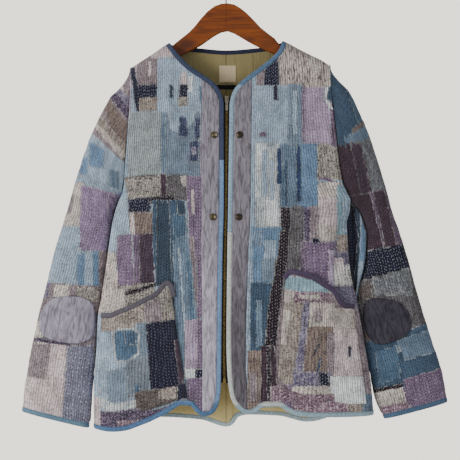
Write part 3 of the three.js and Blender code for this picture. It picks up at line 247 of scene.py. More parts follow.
# Cloths by name: how it is patterned, its ground, its figure and the thread it is quilted with
CLOTHS = {
    "sky": ("plain", "#a6bacd", "#87a1ba", "#64799a"),
    "aqua": ("plain", "#93b3c3", "#7699ab", "#c3d3da"),
    "pale": ("plain", "#a3aeb1", "#86949a", "#6f7d86"),
    "dusk": ("plain", "#7c8ea1", "#64778d", "#adb9c5"),
    "mid": ("plain", "#71869b", "#576f89", "#a5b5c4"),
    "denim": ("plain", "#485d74", "#33475e", "#8296a9"),
    "slate": ("plain", "#3b4a5b", "#2c3948", "#75889a"),
    "deep": ("plain", "#33466a", "#263656", "#7488a4"),
    "indigo": ("streaked", "#353d5c", "#59617f", "#a7adc0"),
    "blue": ("plain", "#7593b3", "#5a7a9e", "#b5c7d8"),
    "teal": ("plain", "#566f88", "#425d77", "#8fa7ba"),
    "grey": ("plain", "#7c8794", "#636f7d", "#aeb7c0"),
    "white": ("streaked", "#c9cfd2", "#8da3b4", "#7d8995"),
    "bleached": ("streaked", "#edf3f5", "#c9d6de", "#9eaab3"),
    "navy": ("dotted", "#1c1f36", "#777b92", "#b9bbc8"),
    "ink": ("streaked", "#1f2137", "#34374f", "#9092a3"),
    "coal": ("dotted", "#241e28", "#7d7580", "#b5b0b8"),
    "aubergine": ("streaked", "#40323f", "#54424f", "#857581"),
    "plum": ("dotted", "#75637f", "#a497b0", "#cbc2d1"),
    "purple": ("streaked", "#64546a", "#7d6c85", "#b3a7b9"),
    "lilac": ("dotted", "#ad9cb9", "#c9bdd2", "#e2d9e6"),
    "violet": ("printed", "#625c79", "#aaa5ba", "#cbc6d4"),
    "grape": ("printed", "#40374e", "#8c8199", "#b5acc0"),
    "ash": ("printed", "#706e72", "#403e47", "#aaa7ab"),
    "taupe": ("printed", "#978c92", "#6b5e69", "#c6bcc0"),
    "brown": ("streaked", "#83766f", "#62555a", "#b9ada8"),
    "beige": ("printed", "#ada39b", "#5f5657", "#cfc7c0"),
    "speckle": ("printed", "#aca79f", "#312f38", "#cdc8c1"),
    "spotted": ("dotted", "#d3d2cf", "#2e2d40", "#8c8a98"),
    "cream": ("printed", "#d6cfc7", "#9c9594", "#857e82"),
    "stripe": ("streaked", "#c6bcb5", "#4b434f", "#7f7681"),
    "pinkish": ("printed", "#dacfd1", "#b1a1a8", "#ebe3e4"),
    "umber": ("printed", "#6e6764", "#35313a", "#aaa39f"),
    "rose": ("printed", "#6f5468", "#c6b7c3", "#d3c3cc"),
    "fig": ("streaked", "#473a4a", "#5b4c5d", "#8d7f90"),
    "mauve": ("dotted", "#8b799a", "#b5a9c1", "#d5ccdb"),
    "heather": ("dotted", "#7b7c92", "#c5c6d2", "#c0c1cf"),
    "floral": ("printed", "#5b6069", "#9fa3a9", "#b4b7bd"),
}

# Patches, later ones on top: the cloth, then the corners of its outline in the photograph's
# pixels, as left, top, right, bottom for an upright rectangle or as four or more points
RIGHT_FRONT = [
    ("sky", 90, 30, 230, 440),
    ("taupe", 128, 34, 186, 86),
    ("pinkish", 150, 36, 176, 58),
    ("pinkish", 133, 60, 137, 84),
    ("pinkish", 148, 60, 151, 76),
    ("lilac", 122, 62, 131, 120),
    ("ink", (129, 66), (134, 66), (143, 111), (136, 112)),
    ("navy", 138, 84, 160, 97),
    ("beige", 139, 97, 160, 111),
    ("sky", 157, 57, 204, 120),
    ("slate", 169, 84, 173, 98),
    ("bleached", 188, 76, 193, 92),
    ("pinkish", (181, 72), (186, 71), (188, 85), (179, 85)),
    ("navy", 179, 84, 188, 98),
    ("speckle", 178, 97, 188, 117),
    ("teal", (199, 86), (202, 86), (203, 104), (200, 104)),
    ("pale", 128, 112, 161, 178),
    ("dusk", 161, 112, 201, 178),
    ("sky", (168, 106), (196, 106), (194, 122), (180, 134), (170, 130)),
    ("mid", 161, 116, 166, 176),
    ("indigo", 179, 117, 187, 137),
    ("indigo", (195, 117), (201, 118), (200, 141), (194, 141)),
    ("indigo", (190, 142), (199, 138), (198, 163), (189, 161)),
    ("violet", 191, 147, 196, 155),
    ("plum", 200, 140, 204, 182),
    ("speckle", (124, 178), (161, 175), (161, 199), (128, 200)),
    ("umber", (124, 177), (158, 174), (158, 176), (124, 179)),
    ("aubergine", (160, 174), (166, 174), (167, 199), (161, 199)),
    ("ash", 166, 175, 187, 201),
    ("cream", (180, 176), (186, 176), (187, 186), (182, 186)),
    ("coal", (150, 197), (175, 194), (175, 200), (151, 204)),
    ("plum", (186, 176), (202, 176), (202, 262), (190, 262)),
    ("pinkish", (191, 190), (194, 190), (195, 214), (192, 214)),
    ("taupe", (189, 236), (194, 236), (200, 320), (193, 320)),
    ("plum", 197, 258, 202, 318),
    ("navy", (127, 199), (150, 197), (151, 212), (129, 213)),
    ("brown", 129, 212, 153, 234),
    ("pinkish", (130, 213), (134, 213), (135, 234), (131, 234)),
    ("sky", (120, 190), (124, 190), (128, 214), (131, 236), (117, 258), (116, 288), (102, 288),
     (110, 230)),
    ("plum", (116, 236), (132, 233), (134, 286), (118, 287)),
    ("purple", (133, 234), (142, 234), (142, 285), (134, 286)),
    ("fig", (139, 234), (154, 233), (155, 284), (140, 286)),
    ("cream", (101, 252), (116, 252), (120, 312), (96, 314)),
    ("speckle", (117, 286), (155, 282), (156, 300), (112, 318)),
    ("cream", (111, 290), (124, 288), (126, 312), (108, 318)),
    ("coal", (124, 292), (156, 282), (157, 286), (125, 296)),
    ("denim", (152, 200), (185, 200), (190, 260), (176, 330), (160, 292), (153, 260)),
    ("slate", (156, 202), (170, 202), (172, 286), (156, 286)),
    ("teal", (172, 214), (185, 212), (187, 236), (174, 238)),
    ("slate", (176, 202), (185, 202), (186, 214), (178, 216)),
    ("mid", (173, 240), (188, 234), (192, 262), (200, 345), (190, 400), (176, 345)),
    ("sky", (178, 246), (180, 246), (188, 340), (185, 340)),
    ("teal", (186, 262), (191, 262), (196, 330), (190, 330)),
    ("coal", (156, 291), (170, 284), (172, 291), (158, 298)),
    ("lilac", 185, 319, 206, 369),
    ("plum", 197, 319, 206, 369),
    ("bleached", 185, 368, 196, 378),
    ("navy", 195, 368, 206, 378),
    ("plum", 187, 377, 208, 412),
    ("grape", (88, 412), (160, 408), (178, 400), (178, 432), (88, 432)),
    ("pinkish", 88, 398, 100, 432),
    ("grape", 176, 398, 196, 420),
    ("rose", 118, 420, 140, 430),
]
LEFT_FRONT = [
    ("sky", 230, 30, 380, 430),
    ("stripe", 262, 34, 334, 88),
    ("cream", 310, 44, 334, 88),
    ("stripe", 318, 50, 326, 88),
    ("bleached", 270, 40, 275, 88),
    ("ink", (276, 46), (278, 46), (278, 70), (275, 70)),
    ("navy", (266, 60), (278, 54), (280, 87), (263, 87)),
    ("taupe", 256, 72, 264, 87),
    ("sky", 255, 85, 292, 144),
    ("dusk", 288, 84, 303, 145),
    ("sky", 293, 90, 297, 134),
    ("ink", (273, 86), (278, 84), (278, 101), (274, 101)),
    ("purple", 260, 132, 266, 137),
    ("lilac", 302, 87, 336, 150),
    ("plum", 302, 87, 305, 144),
    ("purple", 331, 102, 337, 152),
    ("denim", (326, 88), (334, 84), (336, 100), (331, 102), (327, 98)),
    ("bleached", (325, 86), (328, 88), (327, 99), (331, 104), (334, 110), (329, 108), (324, 99)),
    ("white", 255, 143, 280, 230),
    ("bleached", 256, 143, 264, 170),
    ("sky", 262, 150, 268, 196),
    ("sky", 270, 160, 274, 222),
    ("bleached", 266, 200, 278, 226),
    ("mid", 279, 144, 298, 207),
    ("blue", 298, 143, 318, 207),
    ("deep", 277, 148, 282, 184),
    ("denim", 284, 160, 288, 206),
    ("deep", 296, 146, 301, 202),
    ("teal", 281, 176, 285, 207),
    ("speckle", (317, 145), (326, 143), (341, 150), (343, 180), (317, 180)),
    ("purple", (318, 177), (330, 178), (337, 182), (336, 185), (328, 181), (318, 180)),
    ("cream", 318, 182, 342, 199),
    ("pinkish", 318, 197, 342, 234),
    ("cream", 318, 226, 336, 246),
    ("aqua", (337, 184), (352, 188), (353, 234), (337, 234)),
    ("sky", 343, 192, 352, 232),
    ("coal", 280, 207, 290, 250),
    ("ash", 290, 206, 304, 250),
    ("grape", 303, 207, 311, 242),
    ("taupe", 310, 206, 319, 241),
    ("blue", 252, 227, 282, 283),
    ("mid", 254, 230, 262, 246),
    ("sky", 264, 240, 276, 258),
    ("dusk", 262, 258, 276, 280),
    ("denim", 250, 282, 272, 352),
    ("mid", 256, 300, 262, 346),
    ("ash", (286, 246), (304, 246), (300, 268), (290, 280), (272, 300), (274, 262)),
    ("plum", 300, 241, 337, 292),
    ("navy", 312, 238, 320, 243),
    ("purple", 300, 243, 304, 288),
    ("lilac", 328, 250, 335, 290),
    ("beige", 337, 234, 354, 252),
    ("violet", 334, 252, 354, 266),
    ("pinkish", 334, 258, 344, 266),
    ("spotted", 334, 265, 357, 286),
    ("violet", 334, 286, 360, 312),
    ("taupe", 336, 308, 380, 402),
    ("taupe", (283, 288), (300, 288), (300, 400), (270, 400), (272, 350)),
    ("coal", (280, 230), (290, 230), (288, 256), (281, 300), (276, 350), (272, 400), (262, 400),
     (264, 345), (269, 300), (277, 256)),
    ("aubergine", (261, 345), (275, 345), (278, 412), (259, 412)),
    ("coal", (266, 345), (270, 345), (272, 400), (267, 400)),
    ("brown", 247, 350, 261, 416),
    ("taupe", 249, 372, 257, 400),
    ("rose", 270, 385, 350, 420),
    ("beige", 348, 402, 364, 418),
    ("mid", 363, 394, 380, 418),
    ("plum", 258, 400, 292, 420),
]
RIGHT_POCKET = [
    ("sky", 80, 270, 200, 420),
    ("beige", (90, 310), (176, 280), (180, 323), (146, 323), (118, 331), (90, 332)),
    ("speckle", (158, 290), (176, 282), (180, 322), (150, 326), (148, 302)),
    ("taupe", (144, 304), (160, 298), (164, 322), (146, 324)),
    ("pinkish", 90, 330, 99, 396),
    ("dusk", (137, 322), (148, 321), (149, 358), (138, 358)),
    ("white", (112, 331), (118, 328), (134, 327), (140, 331), (140, 353), (130, 362), (116, 362)),
    ("teal", (114, 333), (119, 330), (134, 329), (138, 332), (138, 352), (128, 360), (117, 360)),
    ("denim", (124, 332), (136, 330), (137, 344), (126, 344)),
    ("grey", (127, 359), (148, 355), (150, 392), (128, 398)),
    ("dusk", (106, 372), (127, 366), (128, 400), (108, 404)),
    ("teal", 134, 385, 141, 395),
    ("ink", (146, 323), (176, 318), (186, 370), (182, 390), (151, 391)),
    ("fig", (174, 340), (180, 338), (186, 372), (180, 388)),
    ("beige", (178, 334), (182, 334), (187, 366), (184, 372)),
    ("ink", (174, 384), (190, 380), (194, 408), (176, 408)),
    ("umber", (134, 391), (178, 385), (178, 410), (136, 412)),
    ("beige", (158, 388), (176, 386), (176, 398), (160, 398)),
    ("white", (90, 392), (100, 396), (116, 404), (136, 398), (136, 406), (118, 413), (100, 414),
     (88, 404)),
    ("grape", (98, 413), (140, 407), (142, 420), (100, 422)),
]
LEFT_POCKET = [
    ("taupe", 262, 270, 380, 420),
    ("aqua", (283, 274), (322, 281), (330, 293), (304, 292), (282, 288)),
    ("cream", (279, 288), (300, 291), (296, 304), (276, 304)),
    ("rose", (294, 291), (330, 292), (333, 305), (292, 303)),
    ("cream", (299, 294), (318, 294), (320, 299), (300, 298)),
    ("beige", (278, 302), (304, 302), (298, 388), (272, 388)),
    ("cream", (279, 310), (290, 310), (286, 344), (276, 344)),
    ("violet", (303, 301), (309, 301), (302, 380), (295, 384), (292, 382), (299, 336)),
    ("brown", (308, 320), (334, 318), (334, 372), (302, 372)),
    ("cream", (309, 302), (334, 303), (334, 326), (308, 326)),
    ("taupe", (314, 308), (322, 308), (322, 322), (314, 322)),
    ("cream", 333, 308, 362, 330),
    ("pinkish", 333, 329, 366, 378),
    ("taupe", 327, 332, 334, 372),
    ("ink", (318, 341), (320, 342), (314, 355), (312, 354)),
    ("deep", (319, 357), (321, 358), (315, 384), (312, 384)),
    ("ink", 348, 346, 351, 357),
    ("violet", (293, 371), (331, 371), (331, 386), (292, 386)),
    ("navy", (318, 372), (328, 371), (330, 386), (320, 386)),
    ("cream", 292, 385, 332, 394),
    ("bleached", 330, 376, 374, 405),
    ("plum", 274, 383, 292, 404),
    ("rose", 284, 393, 334, 412),
    ("cream", 352, 404, 364, 412),
]
RIGHT_SLEEVE = [
    ("taupe", 0, 30, 140, 440),
    ("taupe", 110, 56, 136, 100),
    ("pinkish", (112, 76), (120, 68), (124, 96), (112, 98)),
    ("grape", (106, 92), (112, 88), (131, 108), (131, 124), (110, 104)),
    ("violet", (112, 88), (118, 86), (131, 100), (131, 110)),
    ("taupe", (90, 108), (107, 94), (130, 122), (130, 160), (112, 144)),
    ("brown", (102, 106), (109, 100), (128, 124), (128, 146), (112, 130)),
    ("cream", (86, 118), (96, 110), (131, 152), (128, 166)),
    ("beige", (92, 118), (98, 112), (131, 150), (130, 158)),
    ("coal", (122, 158), (130, 156), (130, 164), (124, 164)),
    ("sky", (74, 132), (88, 130), (130, 168), (128, 200), (112, 192), (66, 180)),
    ("blue", (88, 140), (104, 150), (104, 168), (88, 166)),
    ("blue", (78, 156), (88, 158), (86, 176), (74, 172)),
    ("mid", (109, 168), (119, 172), (119, 190), (108, 186)),
    ("sky", (58, 176), (80, 176), (122, 190), (122, 198), (60, 190)),
    ("pinkish", (70, 132), (86, 132), (76, 176), (64, 176)),
    ("cream", (54, 184), (84, 182), (84, 228), (44, 228)),
    ("taupe", (56, 196), (74, 194), (70, 214), (52, 214)),
    ("mauve", (80, 184), (126, 196), (112, 252), (78, 250)),
    ("plum", (108, 194), (126, 198), (112, 252), (104, 252)),
    ("sky", (40, 226), (79, 226), (79, 250), (101, 252), (100, 292), (30, 288)),
    ("blue", (76, 254), (99, 250), (99, 288), (76, 290)),
    ("sky", (84, 252), (92, 252), (92, 288), (84, 290)),
    ("taupe", (98, 250), (110, 254), (106, 304), (98, 300)),
    ("taupe", (30, 282), (106, 286), (106, 306), (28, 302)),
    ("cream", (54, 284), (68, 285), (67, 300), (52, 298)),
    ("speckle", (76, 287), (98, 289), (98, 304), (76, 301)),
    ("violet", (40, 282), (50, 283), (46, 300), (36, 298)),
    ("taupe", (20, 298), (108, 302), (108, 350), (16, 350)),
    ("floral", (28, 318), (66, 322), (64, 342), (24, 340)),
    ("cream", (30, 322), (44, 322), (42, 338), (28, 338)),
    ("grape", (26, 337), (70, 343), (70, 347), (26, 341)),
    ("pinkish", (14, 341), (66, 346), (68, 420), (8, 414)),
    ("taupe", (14, 342), (50, 346), (46, 380), (12, 376)),
    ("heather", (66, 346), (108, 346), (100, 430), (60, 430)),
    ("taupe", (92, 346), (104, 346), (102, 384), (93, 380)),
]
LEFT_SLEEVE = [
    ("slate", 320, 30, 460, 440),
    ("denim", (330, 50), (376, 100), (372, 146), (332, 146)),
    ("teal", (342, 66), (352, 76), (372, 122), (358, 122), (350, 100)),
    ("brown", (351, 130), (367, 118), (369, 121), (354, 133)),
    ("mid", (344, 138), (370, 123), (376, 140), (346, 146)),
    ("floral", (360, 142), (376, 134), (392, 192), (372, 196)),
    ("aubergine", (334, 146), (361, 141), (374, 194), (344, 202)),
    ("fig", (350, 144), (360, 142), (372, 192), (362, 196)),
    ("aubergine", (344, 196), (372, 192), (386, 246), (350, 258)),
    ("purple", (370, 192), (396, 186), (410, 244), (384, 248)),
    ("aubergine", (374, 192), (386, 189), (398, 246), (386, 249)),
    ("navy", (352, 254), (412, 242), (416, 268), (362, 284)),
    ("ash", (358, 282), (416, 266), (434, 334), (362, 340)),
    ("floral", (372, 280), (410, 268), (416, 296), (376, 296)),
    ("umber", (360, 284), (372, 282), (374, 298), (360, 304)),
    ("brown", (366, 330), (400, 328), (404, 342), (368, 348)),
    ("denim", (362, 344), (436, 322), (448, 374), (404, 388), (362, 400)),
    ("mid", (398, 340), (434, 330), (440, 352), (404, 362)),
    ("teal", (376, 352), (398, 346), (402, 378), (380, 386)),
    ("coal", (370, 391), (404, 384), (404, 390), (372, 397)),
    ("plum", (404, 380), (452, 366), (458, 408), (408, 414)),
    ("cream", (366, 396), (405, 388), (410, 412), (372, 418)),
    ("rose", (368, 410), (410, 402), (412, 424), (368, 430)),
]
BACK_MIDDLE = [
    ("mid", 196, 90, 232, 190),
    ("plum", 232, 84, 262, 150),
    ("cream", 206, 60, 250, 92),
    ("denim", 228, 150, 262, 232),
    ("speckle", 200, 190, 230, 226),
    ("sky", 196, 226, 238, 300),
    ("violet", 236, 232, 262, 300),
    ("navy", 204, 300, 232, 330),
    ("taupe", 230, 300, 262, 356),
    ("blue", 196, 330, 232, 400),
    ("pinkish", 230, 356, 262, 402),
    ("beige", 196, 396, 262, 440),
]


def linear(colour):
    """sRGB hex, such as #8a4f1e, as linear red, green, blue and alpha."""
    values = [int(colour[k:k + 2], 16) / 255 for k in (1, 3, 5)]
    return [v / 12.92 if v <= 0.04045 else ((v + 0.055) / 1.055) ** 2.4 for v in values] + [1.0]


def along(rows, key, column, at):
    """Value of one column at a key, joined by smooth curves that don't overshoot."""
    keys, values = rows[key], rows[column]
    if keys[0] > keys[-1]:
        keys, values = keys[::-1], values[::-1]
    slope = np.diff(values) / np.diff(keys)
    before, after = slope[:-1], slope[1:]
    total = np.where(before + after == 0, 1.0, before + after)
    middle = np.where(before * after > 0, 2 * before * after / total, 0.0)
    tangent = np.concatenate([slope[:1], middle, slope[-1:]])
    at = np.clip(np.asarray(at, float), keys[0], keys[-1])
    i = np.clip(np.searchsorted(keys, at, side="right") - 1, 0, len(keys) - 2)
    span = keys[i + 1] - keys[i]
    t = (at - keys[i]) / span
    start = values[i] * (2 * t**3 - 3 * t**2 + 1) + span * tangent[i] * (t**3 - 2 * t**2 + t)
    return start + values[i + 1] * (3 * t**2 - 2 * t**3) + span * tangent[i + 1] * (t**3 - t**2)


def soft_noise(x, y, size, seed):
    """Uneven values from -1 to 1 that change smoothly over about that size."""
    grid = np.random.default_rng(seed).uniform(-1, 1, (64, 64))
    x, y = np.asarray(x) / size, np.asarray(y) / size
    i, j = np.floor(x).astype(int), np.floor(y).astype(int)
    s, t = x - i, y - j
    s, t = s * s * (3 - 2 * s), t * t * (3 - 2 * t)
    i, j, i2, j2 = i % 64, j % 64, (i + 1) % 64, (j + 1) % 64
    low = grid[i, j] * (1 - s) + grid[i2, j] * s
    high = grid[i, j2] * (1 - s) + grid[i2, j2] * s
    return low * (1 - t) + high * t


def smooth_step(low, high, value):
    t = np.clip((value - low) / (high - low), 0, 1)
    return t * t * (3 - 2 * t)


def fold_height(folds, x, z):
    """Height of the folds at each point, highest at the middle of each fold."""
    height = np.zeros(np.shape(x))
    for x1, z1, x2, z2, rise, width in folds:
        dx, dz = x2 - x1, z2 - z1
        part = np.clip(((x - x1) * dx + (z - z1) * dz) / (dx * dx + dz * dz), 0, 1)
        distance = np.hypot(x - x1 - part * dx, z - z1 - part * dz)
        shape = np.sin(np.pi * (0.12 + 0.76 * part)) * np.exp(-(distance / width) ** 2)
        height = height + rise * shape
    return height


def shoulder_z(side, x):
    return along(SHOULDERS, "x", side, np.abs(x))


def round_off(share):
    return (1 - (1 - np.clip(share, 0, 1)) ** 2.3) ** (1 / 2.3)


def armhole_half(side, z):
    top, low = SLEEVES[side]["outerZ"][0], SLEEVES[side]["innerZ"][0]
    share = np.minimum(np.abs(z - (top + low) / 2) / ((top - low) / 2), 1)
    return ARMHOLE_DEPTH * (1 - share**2.6) ** (1 / 2.6)


def body_half(side, reach, x, z, share, folds):
    """Half depth of the body, from the armhole's rim to the middle, with the folds."""
    across = np.clip(np.abs(x) / reach, 0, 1)
    fall = (1 - across**3) ** (1 / 3)
    drop = shoulder_z(side, x) - z
    middle = along(BODY_DEPTH, "z", "half", z) * share * round_off(drop / SHOULDER_ROUND)
    rim = armhole_half(side, z)
    half = rim + (middle - rim) * fall + fold_height(folds, x, z) * fall * round_off(drop / 60)
    return np.maximum(half, THINNEST)


def front_y(side, x, z):
    return -body_half(side, along(BODY_SIDES, "z", side, z), x, z, 1, FRONT_FOLDS)


def back_reach(side, z):
    return along(BODY_SIDES, "z", "behind" if side == "left" else "right", z)


def back_y(side, x, z):
    return body_half(side, back_reach(side, z), x, z, BACK_SHARE, BACK_FOLDS)


def front_normal(side, x, z):
    step = 3
    slope_x = (front_y(side, x + step, z) - front_y(side, x - step, z)) / (2 * step)
    slope_z = (front_y(side, x, z + step) - front_y(side, x, z - step)) / (2 * step)
    return unit(np.stack([slope_x, -np.ones(np.shape(x)), slope_z], axis=-1))


def on_front(side, x, z, height):
    point = np.stack([x, front_y(side, x, z), z], axis=-1)
    return point + front_normal(side, x, z) * np.asarray(height)[..., None]


def moved_edge(points, distance):
    """An edge's x, z points moved sideways, as a table."""
    points = np.array(points, float)
    before = points[[max(i - 1, 0) for i in range(len(points))]]
    after = points[[min(i + 1, len(points) - 1) for i in range(len(points))]]
    way = unit(after - before)
    moved = points + distance * np.stack([-way[:, 1], way[:, 0]], axis=1)
    return table("x z", sorted(moved.tolist()))


def meet(column_x, height_at, start):
    z = start
    for _ in range(12):
        z = height_at(column_x(z))
    return z


def row_heights(low, high, rows, roll_rows):
    """Heights of a panel's rows, closer together where the cloth rolls over the shoulder."""
    body = np.linspace(0, 1, rows)[:, None] * (high - ROLL - low)[None, :] + low[None, :]
    drops = ROLL * (1 - np.arange(1, roll_rows + 1) / roll_rows) ** 2
    return np.concatenate([body, high[None, :] - drops[:, None]])


def grid_normals(points, outward, wrap=False):
    """Unit normals of a grid of points, turned to the side of "outward"."""
    up = np.gradient(points, axis=0)
    if wrap:
        ring = points[:, :-1]
        across = np.roll(ring, -1, axis=1) - np.roll(ring, 1, axis=1)
        across = np.concatenate([across, across[:, :1]], axis=1)
    else:
        across = np.gradient(points, axis=1)
    normal = np.cross(across, up)
    normal /= np.maximum(np.linalg.norm(normal, axis=-1, keepdims=True), 1e-9)
    return np.where((normal * outward).sum(-1, keepdims=True) < 0, -normal, normal)


def flatten_at(normals, mask):
    """Keeps the normals of a seam in the plane of the seam."""
    flat = normals * np.array([1.0, 0.0, 1.0])
    flat /= np.maximum(np.linalg.norm(flat, axis=-1, keepdims=True), 1e-9)
    return np.where(mask[..., None], flat, normals)


def link(name, build):
    """Puts what a bmesh holds into the scene as an object."""
    mesh = bpy.data.meshes.new(name)
    build.to_mesh(mesh)
    build.free()
    piece = bpy.data.objects.new(name, mesh)
    bpy.context.scene.collection.objects.link(piece)
    return piece


def shade_smooth(piece):
    for polygon in piece.data.polygons:
        polygon.use_smooth = True


def cloth_uv(across, lengthwise):
    """A cloth's own coordinates for each point of its grid."""
    return np.stack(np.broadcast_arrays(across, lengthwise), axis=-1)


def grid_object(name, points, normals, uv, wrap=False):
    """A sheet from a grid of points in millimetres, with its cloth's own coordinates as UV."""
    rows, columns = points.shape[:2]
    build = bmesh.new()
    bmesh.ops.create_grid(build, x_segments=columns - 1, y_segments=rows - 1, size=0.5)
    piece = link(name, build)
    mesh = piece.data
    flat = np.empty(len(mesh.vertices) * 3)
    mesh.vertices.foreach_get("co", flat)
    flat = flat.reshape(-1, 3)
    j = np.rint((flat[:, 0] + 0.5) * (columns - 1)).astype(int)
    i = np.rint((flat[:, 1] + 0.5) * (rows - 1)).astype(int)
    mesh.vertices.foreach_set("co", (points[i, j] * MM).ravel())
    corner = np.empty(len(mesh.loops), int)
    mesh.loops.foreach_get("vertex_index", corner)
    layer = mesh.uv_layers.new(name="cloth")
    layer.data.foreach_set("uv", (uv[i, j][corner] * MM).ravel())
    mesh.update()
    face = np.empty(len(mesh.polygons) * 3)
    mesh.polygons.foreach_get("normal", face)
    first = np.array([p.vertices[0] for p in mesh.polygons])
    if (face.reshape(-1, 3) * normals[i, j][first]).sum() < 0:
        mesh.flip_normals()
    if wrap:
        edit(piece, lambda b: bmesh.ops.remove_doubles(b, verts=b.verts, dist=1e-6))
    shade_smooth(piece)
    return piece


def edit(piece, change):
    build = bmesh.new()
    build.from_mesh(piece.data)
    change(build)
    build.to_mesh(piece.data)
    build.free()
    piece.data.update()


def give_wall(piece, thickness, lining_slot=0, offset=-1):
    """Gives a sheet its thickness behind its face, or before it where the offset is 1."""
    wall = piece.modifiers.new("wall", "SOLIDIFY")
    wall.thickness = thickness * MM
    wall.offset = offset
    wall.use_rim = True
    wall.material_offset = lining_slot


def face_centres(piece):
    centre = np.empty(len(piece.data.polygons) * 3)
    piece.data.polygons.foreach_get("center", centre)
    return centre.reshape(-1, 3) / MM


def give_colours(piece, name, values):
    """Gives each face its colour under that name."""
    layer = piece.data.attributes.new(name, "FLOAT_COLOR", "FACE")
    layer.data.foreach_set("color", np.ascontiguousarray(values, np.float32).ravel())


def dress(piece, material, ground=None):
    """Gives a piece its material and, where it has a ground colour, one or one for each face."""
    piece.data.materials.append(MATERIALS[material])
    if isinstance(ground, str):
        ground = np.tile(np.array(linear(ground)), (len(piece.data.polygons), 1))
    if ground is not None:
        give_colours(piece, "ground", ground)


def in_pixels(points):
    """Where points in millimetres lie in the photograph, as pixels across and down."""
    return points[..., 0] / PIXEL_MM + MIDDLE_PIXEL, (TOP_EDGE_Z - points[..., 2]) / PIXEL_MM


def mirrored_pixels(points):
    """The back has the fronts' cloths, mirrored and moved a little."""
    return in_pixels(points * (-1, 1, 1) + (-8, 0, 22))


def sleeve_pixels(points):
    """The hidden side of a sleeve has the cloths from lower down."""
    across, down = in_pixels(points)
    return across, np.where(points[..., 1] > 8, down + 34, down)


def covering(patches, across, down):
    """Number of the top patch over each point."""
    top = np.zeros(across.shape, int)
    for number, (_, *corners) in enumerate(patches):
        if isinstance(corners[0], tuple):
            inside = np.zeros(across.shape, bool)
            for (x1, y1), (x2, y2) in zip(corners, corners[1:] + corners[:1]):
                if y1 != y2:
                    crossing = (down > min(y1, y2)) & (down <= max(y1, y2))
                    inside ^= crossing & (across < x1 + (down - y1) * (x2 - x1) / (y2 - y1))
        else:
            left, high, right, low = corners
            inside = (across > left) & (across < right) & (down > high) & (down < low)
        top[inside] = number
    return top


def ragged(across, down, seed):
    """Points moved a little, so that patches end in worn, uneven edges."""
    wave = 0.55 * soft_noise(across, down, 4.0, seed)
    across = across + wave + 0.35 * soft_noise(across, down, 1.1, seed + 1)
    return across, down + 0.5 * soft_noise(down, across, 3.0, seed + 2)


KINDS = ("plain", "dotted", "printed", "streaked")


def patch_cloth(piece, patches, across, down, seed):
    """Lays the patches over a piece's faces: cloth, colours, frayed pale edges, and painted shadow
    beside the edge of a patch that lies on top.
    """
    uneven = ragged(across, down, seed)
    top = covering(patches, *uneven)
    cloths = [CLOTHS[row[0]] for row in patches]
    kind = np.array([KINDS.index(cloth[0]) for cloth in cloths])
    ground, motif, thread = [
        np.array([linear(cloth[k]) for cloth in cloths])[top] for k in (1, 2, 3)
    ]
    shade = np.random.default_rng(seed + 5).uniform(0.94, 1.08, len(cloths))[top]
    reach = 0.8
    upper, lower = np.zeros(len(top), bool), np.zeros(len(top), bool)
    for dx, dy in ((reach, 0), (-reach, 0), (0, reach), (0, -reach)):
        other = covering(patches, uneven[0] + dx, uneven[1] + dy)
        upper |= other < top
        lower |= other > top
    fray = 0.3 + 0.3 * soft_noise(across, down, 2.0, seed + 7)
    # Many washes with indigo have left a blue cast on every patch
    ground[:, :3] *= shade[:, None] * np.array((1.02, 1.03, 1.08))
    pale = np.array(linear("#cdd2d2")[:3])
    mix = (upper * np.clip(fray, 0, 1))[:, None]
    ground[:, :3] = ground[:, :3] * (1 - mix) + pale * mix
    # Painted shadow: faces beside the edge of a patch that lies on top of them are darkened
    ground[lower & ~upper, :3] *= 0.74
    for name in (*KINDS, "lining"):
        dress(piece, name)
    piece.data.polygons.foreach_set("material_index", kind[top])
    for name, values in (("ground", ground), ("motif", motif), ("thread", thread)):
        give_colours(piece, name, values)


def lift_of(patches, across, down, seed):
    """How far each point's patch lies above the cloth below it, in millimetres."""
    top = covering(patches, *ragged(across, down, seed))
    return np.random.default_rng(seed + 9).uniform(0.0, PATCH_LIFT, len(patches))[top]


def quilted(points, normals, patches, place, seed, rows, creases):
    """A panel's face with its stitched rows, the patches' lift, soft waves and creases."""
    x, z = points[..., 0], points[..., 2]
    waves = 0.5 * soft_noise(x, z, 19.0, seed + 3) + 0.25 * soft_noise(x, z, 9.0, seed + 4)
    rise = rows + lift_of(patches, *place(points), seed) + waves
    rise = np.clip(rise, LOWEST_RISE, HIGHEST_RISE) + fold_height(creases, x, z)
    return points + normals * (rise * edge_fade(x.shape, 3))[..., None]


def patched_sheet(node, shown, normals, uv, patches, seed, place=in_pixels, wall=WALL, wrap=False):
    """A panel's sheet with its patches, in place of the node of that name."""
    piece = grid_object(f"{node}_cloth", shown, normals, uv, wrap)
    patch_cloth(piece, patches, *place(face_centres(piece)), seed)
    give_wall(piece, wall, LINING_SLOT)
    join_piece(piece, [node])
    return piece


def add(tree, kind, inputs=(), **settings):
    """Adds a node with its settings and links and returns its first output."""
    node = tree.nodes.new("ShaderNode" + kind)
    for name, value in settings.items():
        setattr(node, name, value)
    for socket, value in dict(inputs).items():
        if isinstance(value, bpy.types.NodeSocket):
            tree.links.new(value, node.inputs[socket])
        else:
            node.inputs[socket].default_value = value
    return node.outputs[0] if node.outputs else None


def maths(tree, operation, *values):
    return add(tree, "Math", dict(enumerate(values)), operation=operation)


def times(tree, first, *others):
    for other in others:
        first = maths(tree, "MULTIPLY", first, other)
    return first


def remap(tree, value, low, high, start, end, **settings):
    return add(tree, "MapRange", {0: value, 1: low, 2: high, 3: start, 4: end}, **settings)


def spread(tree, value, start, end):
    """A noise's usual values from 0.3 to 0.7, moved to a range of their own."""
    return remap(tree, value, 0.3, 0.7, start, end)


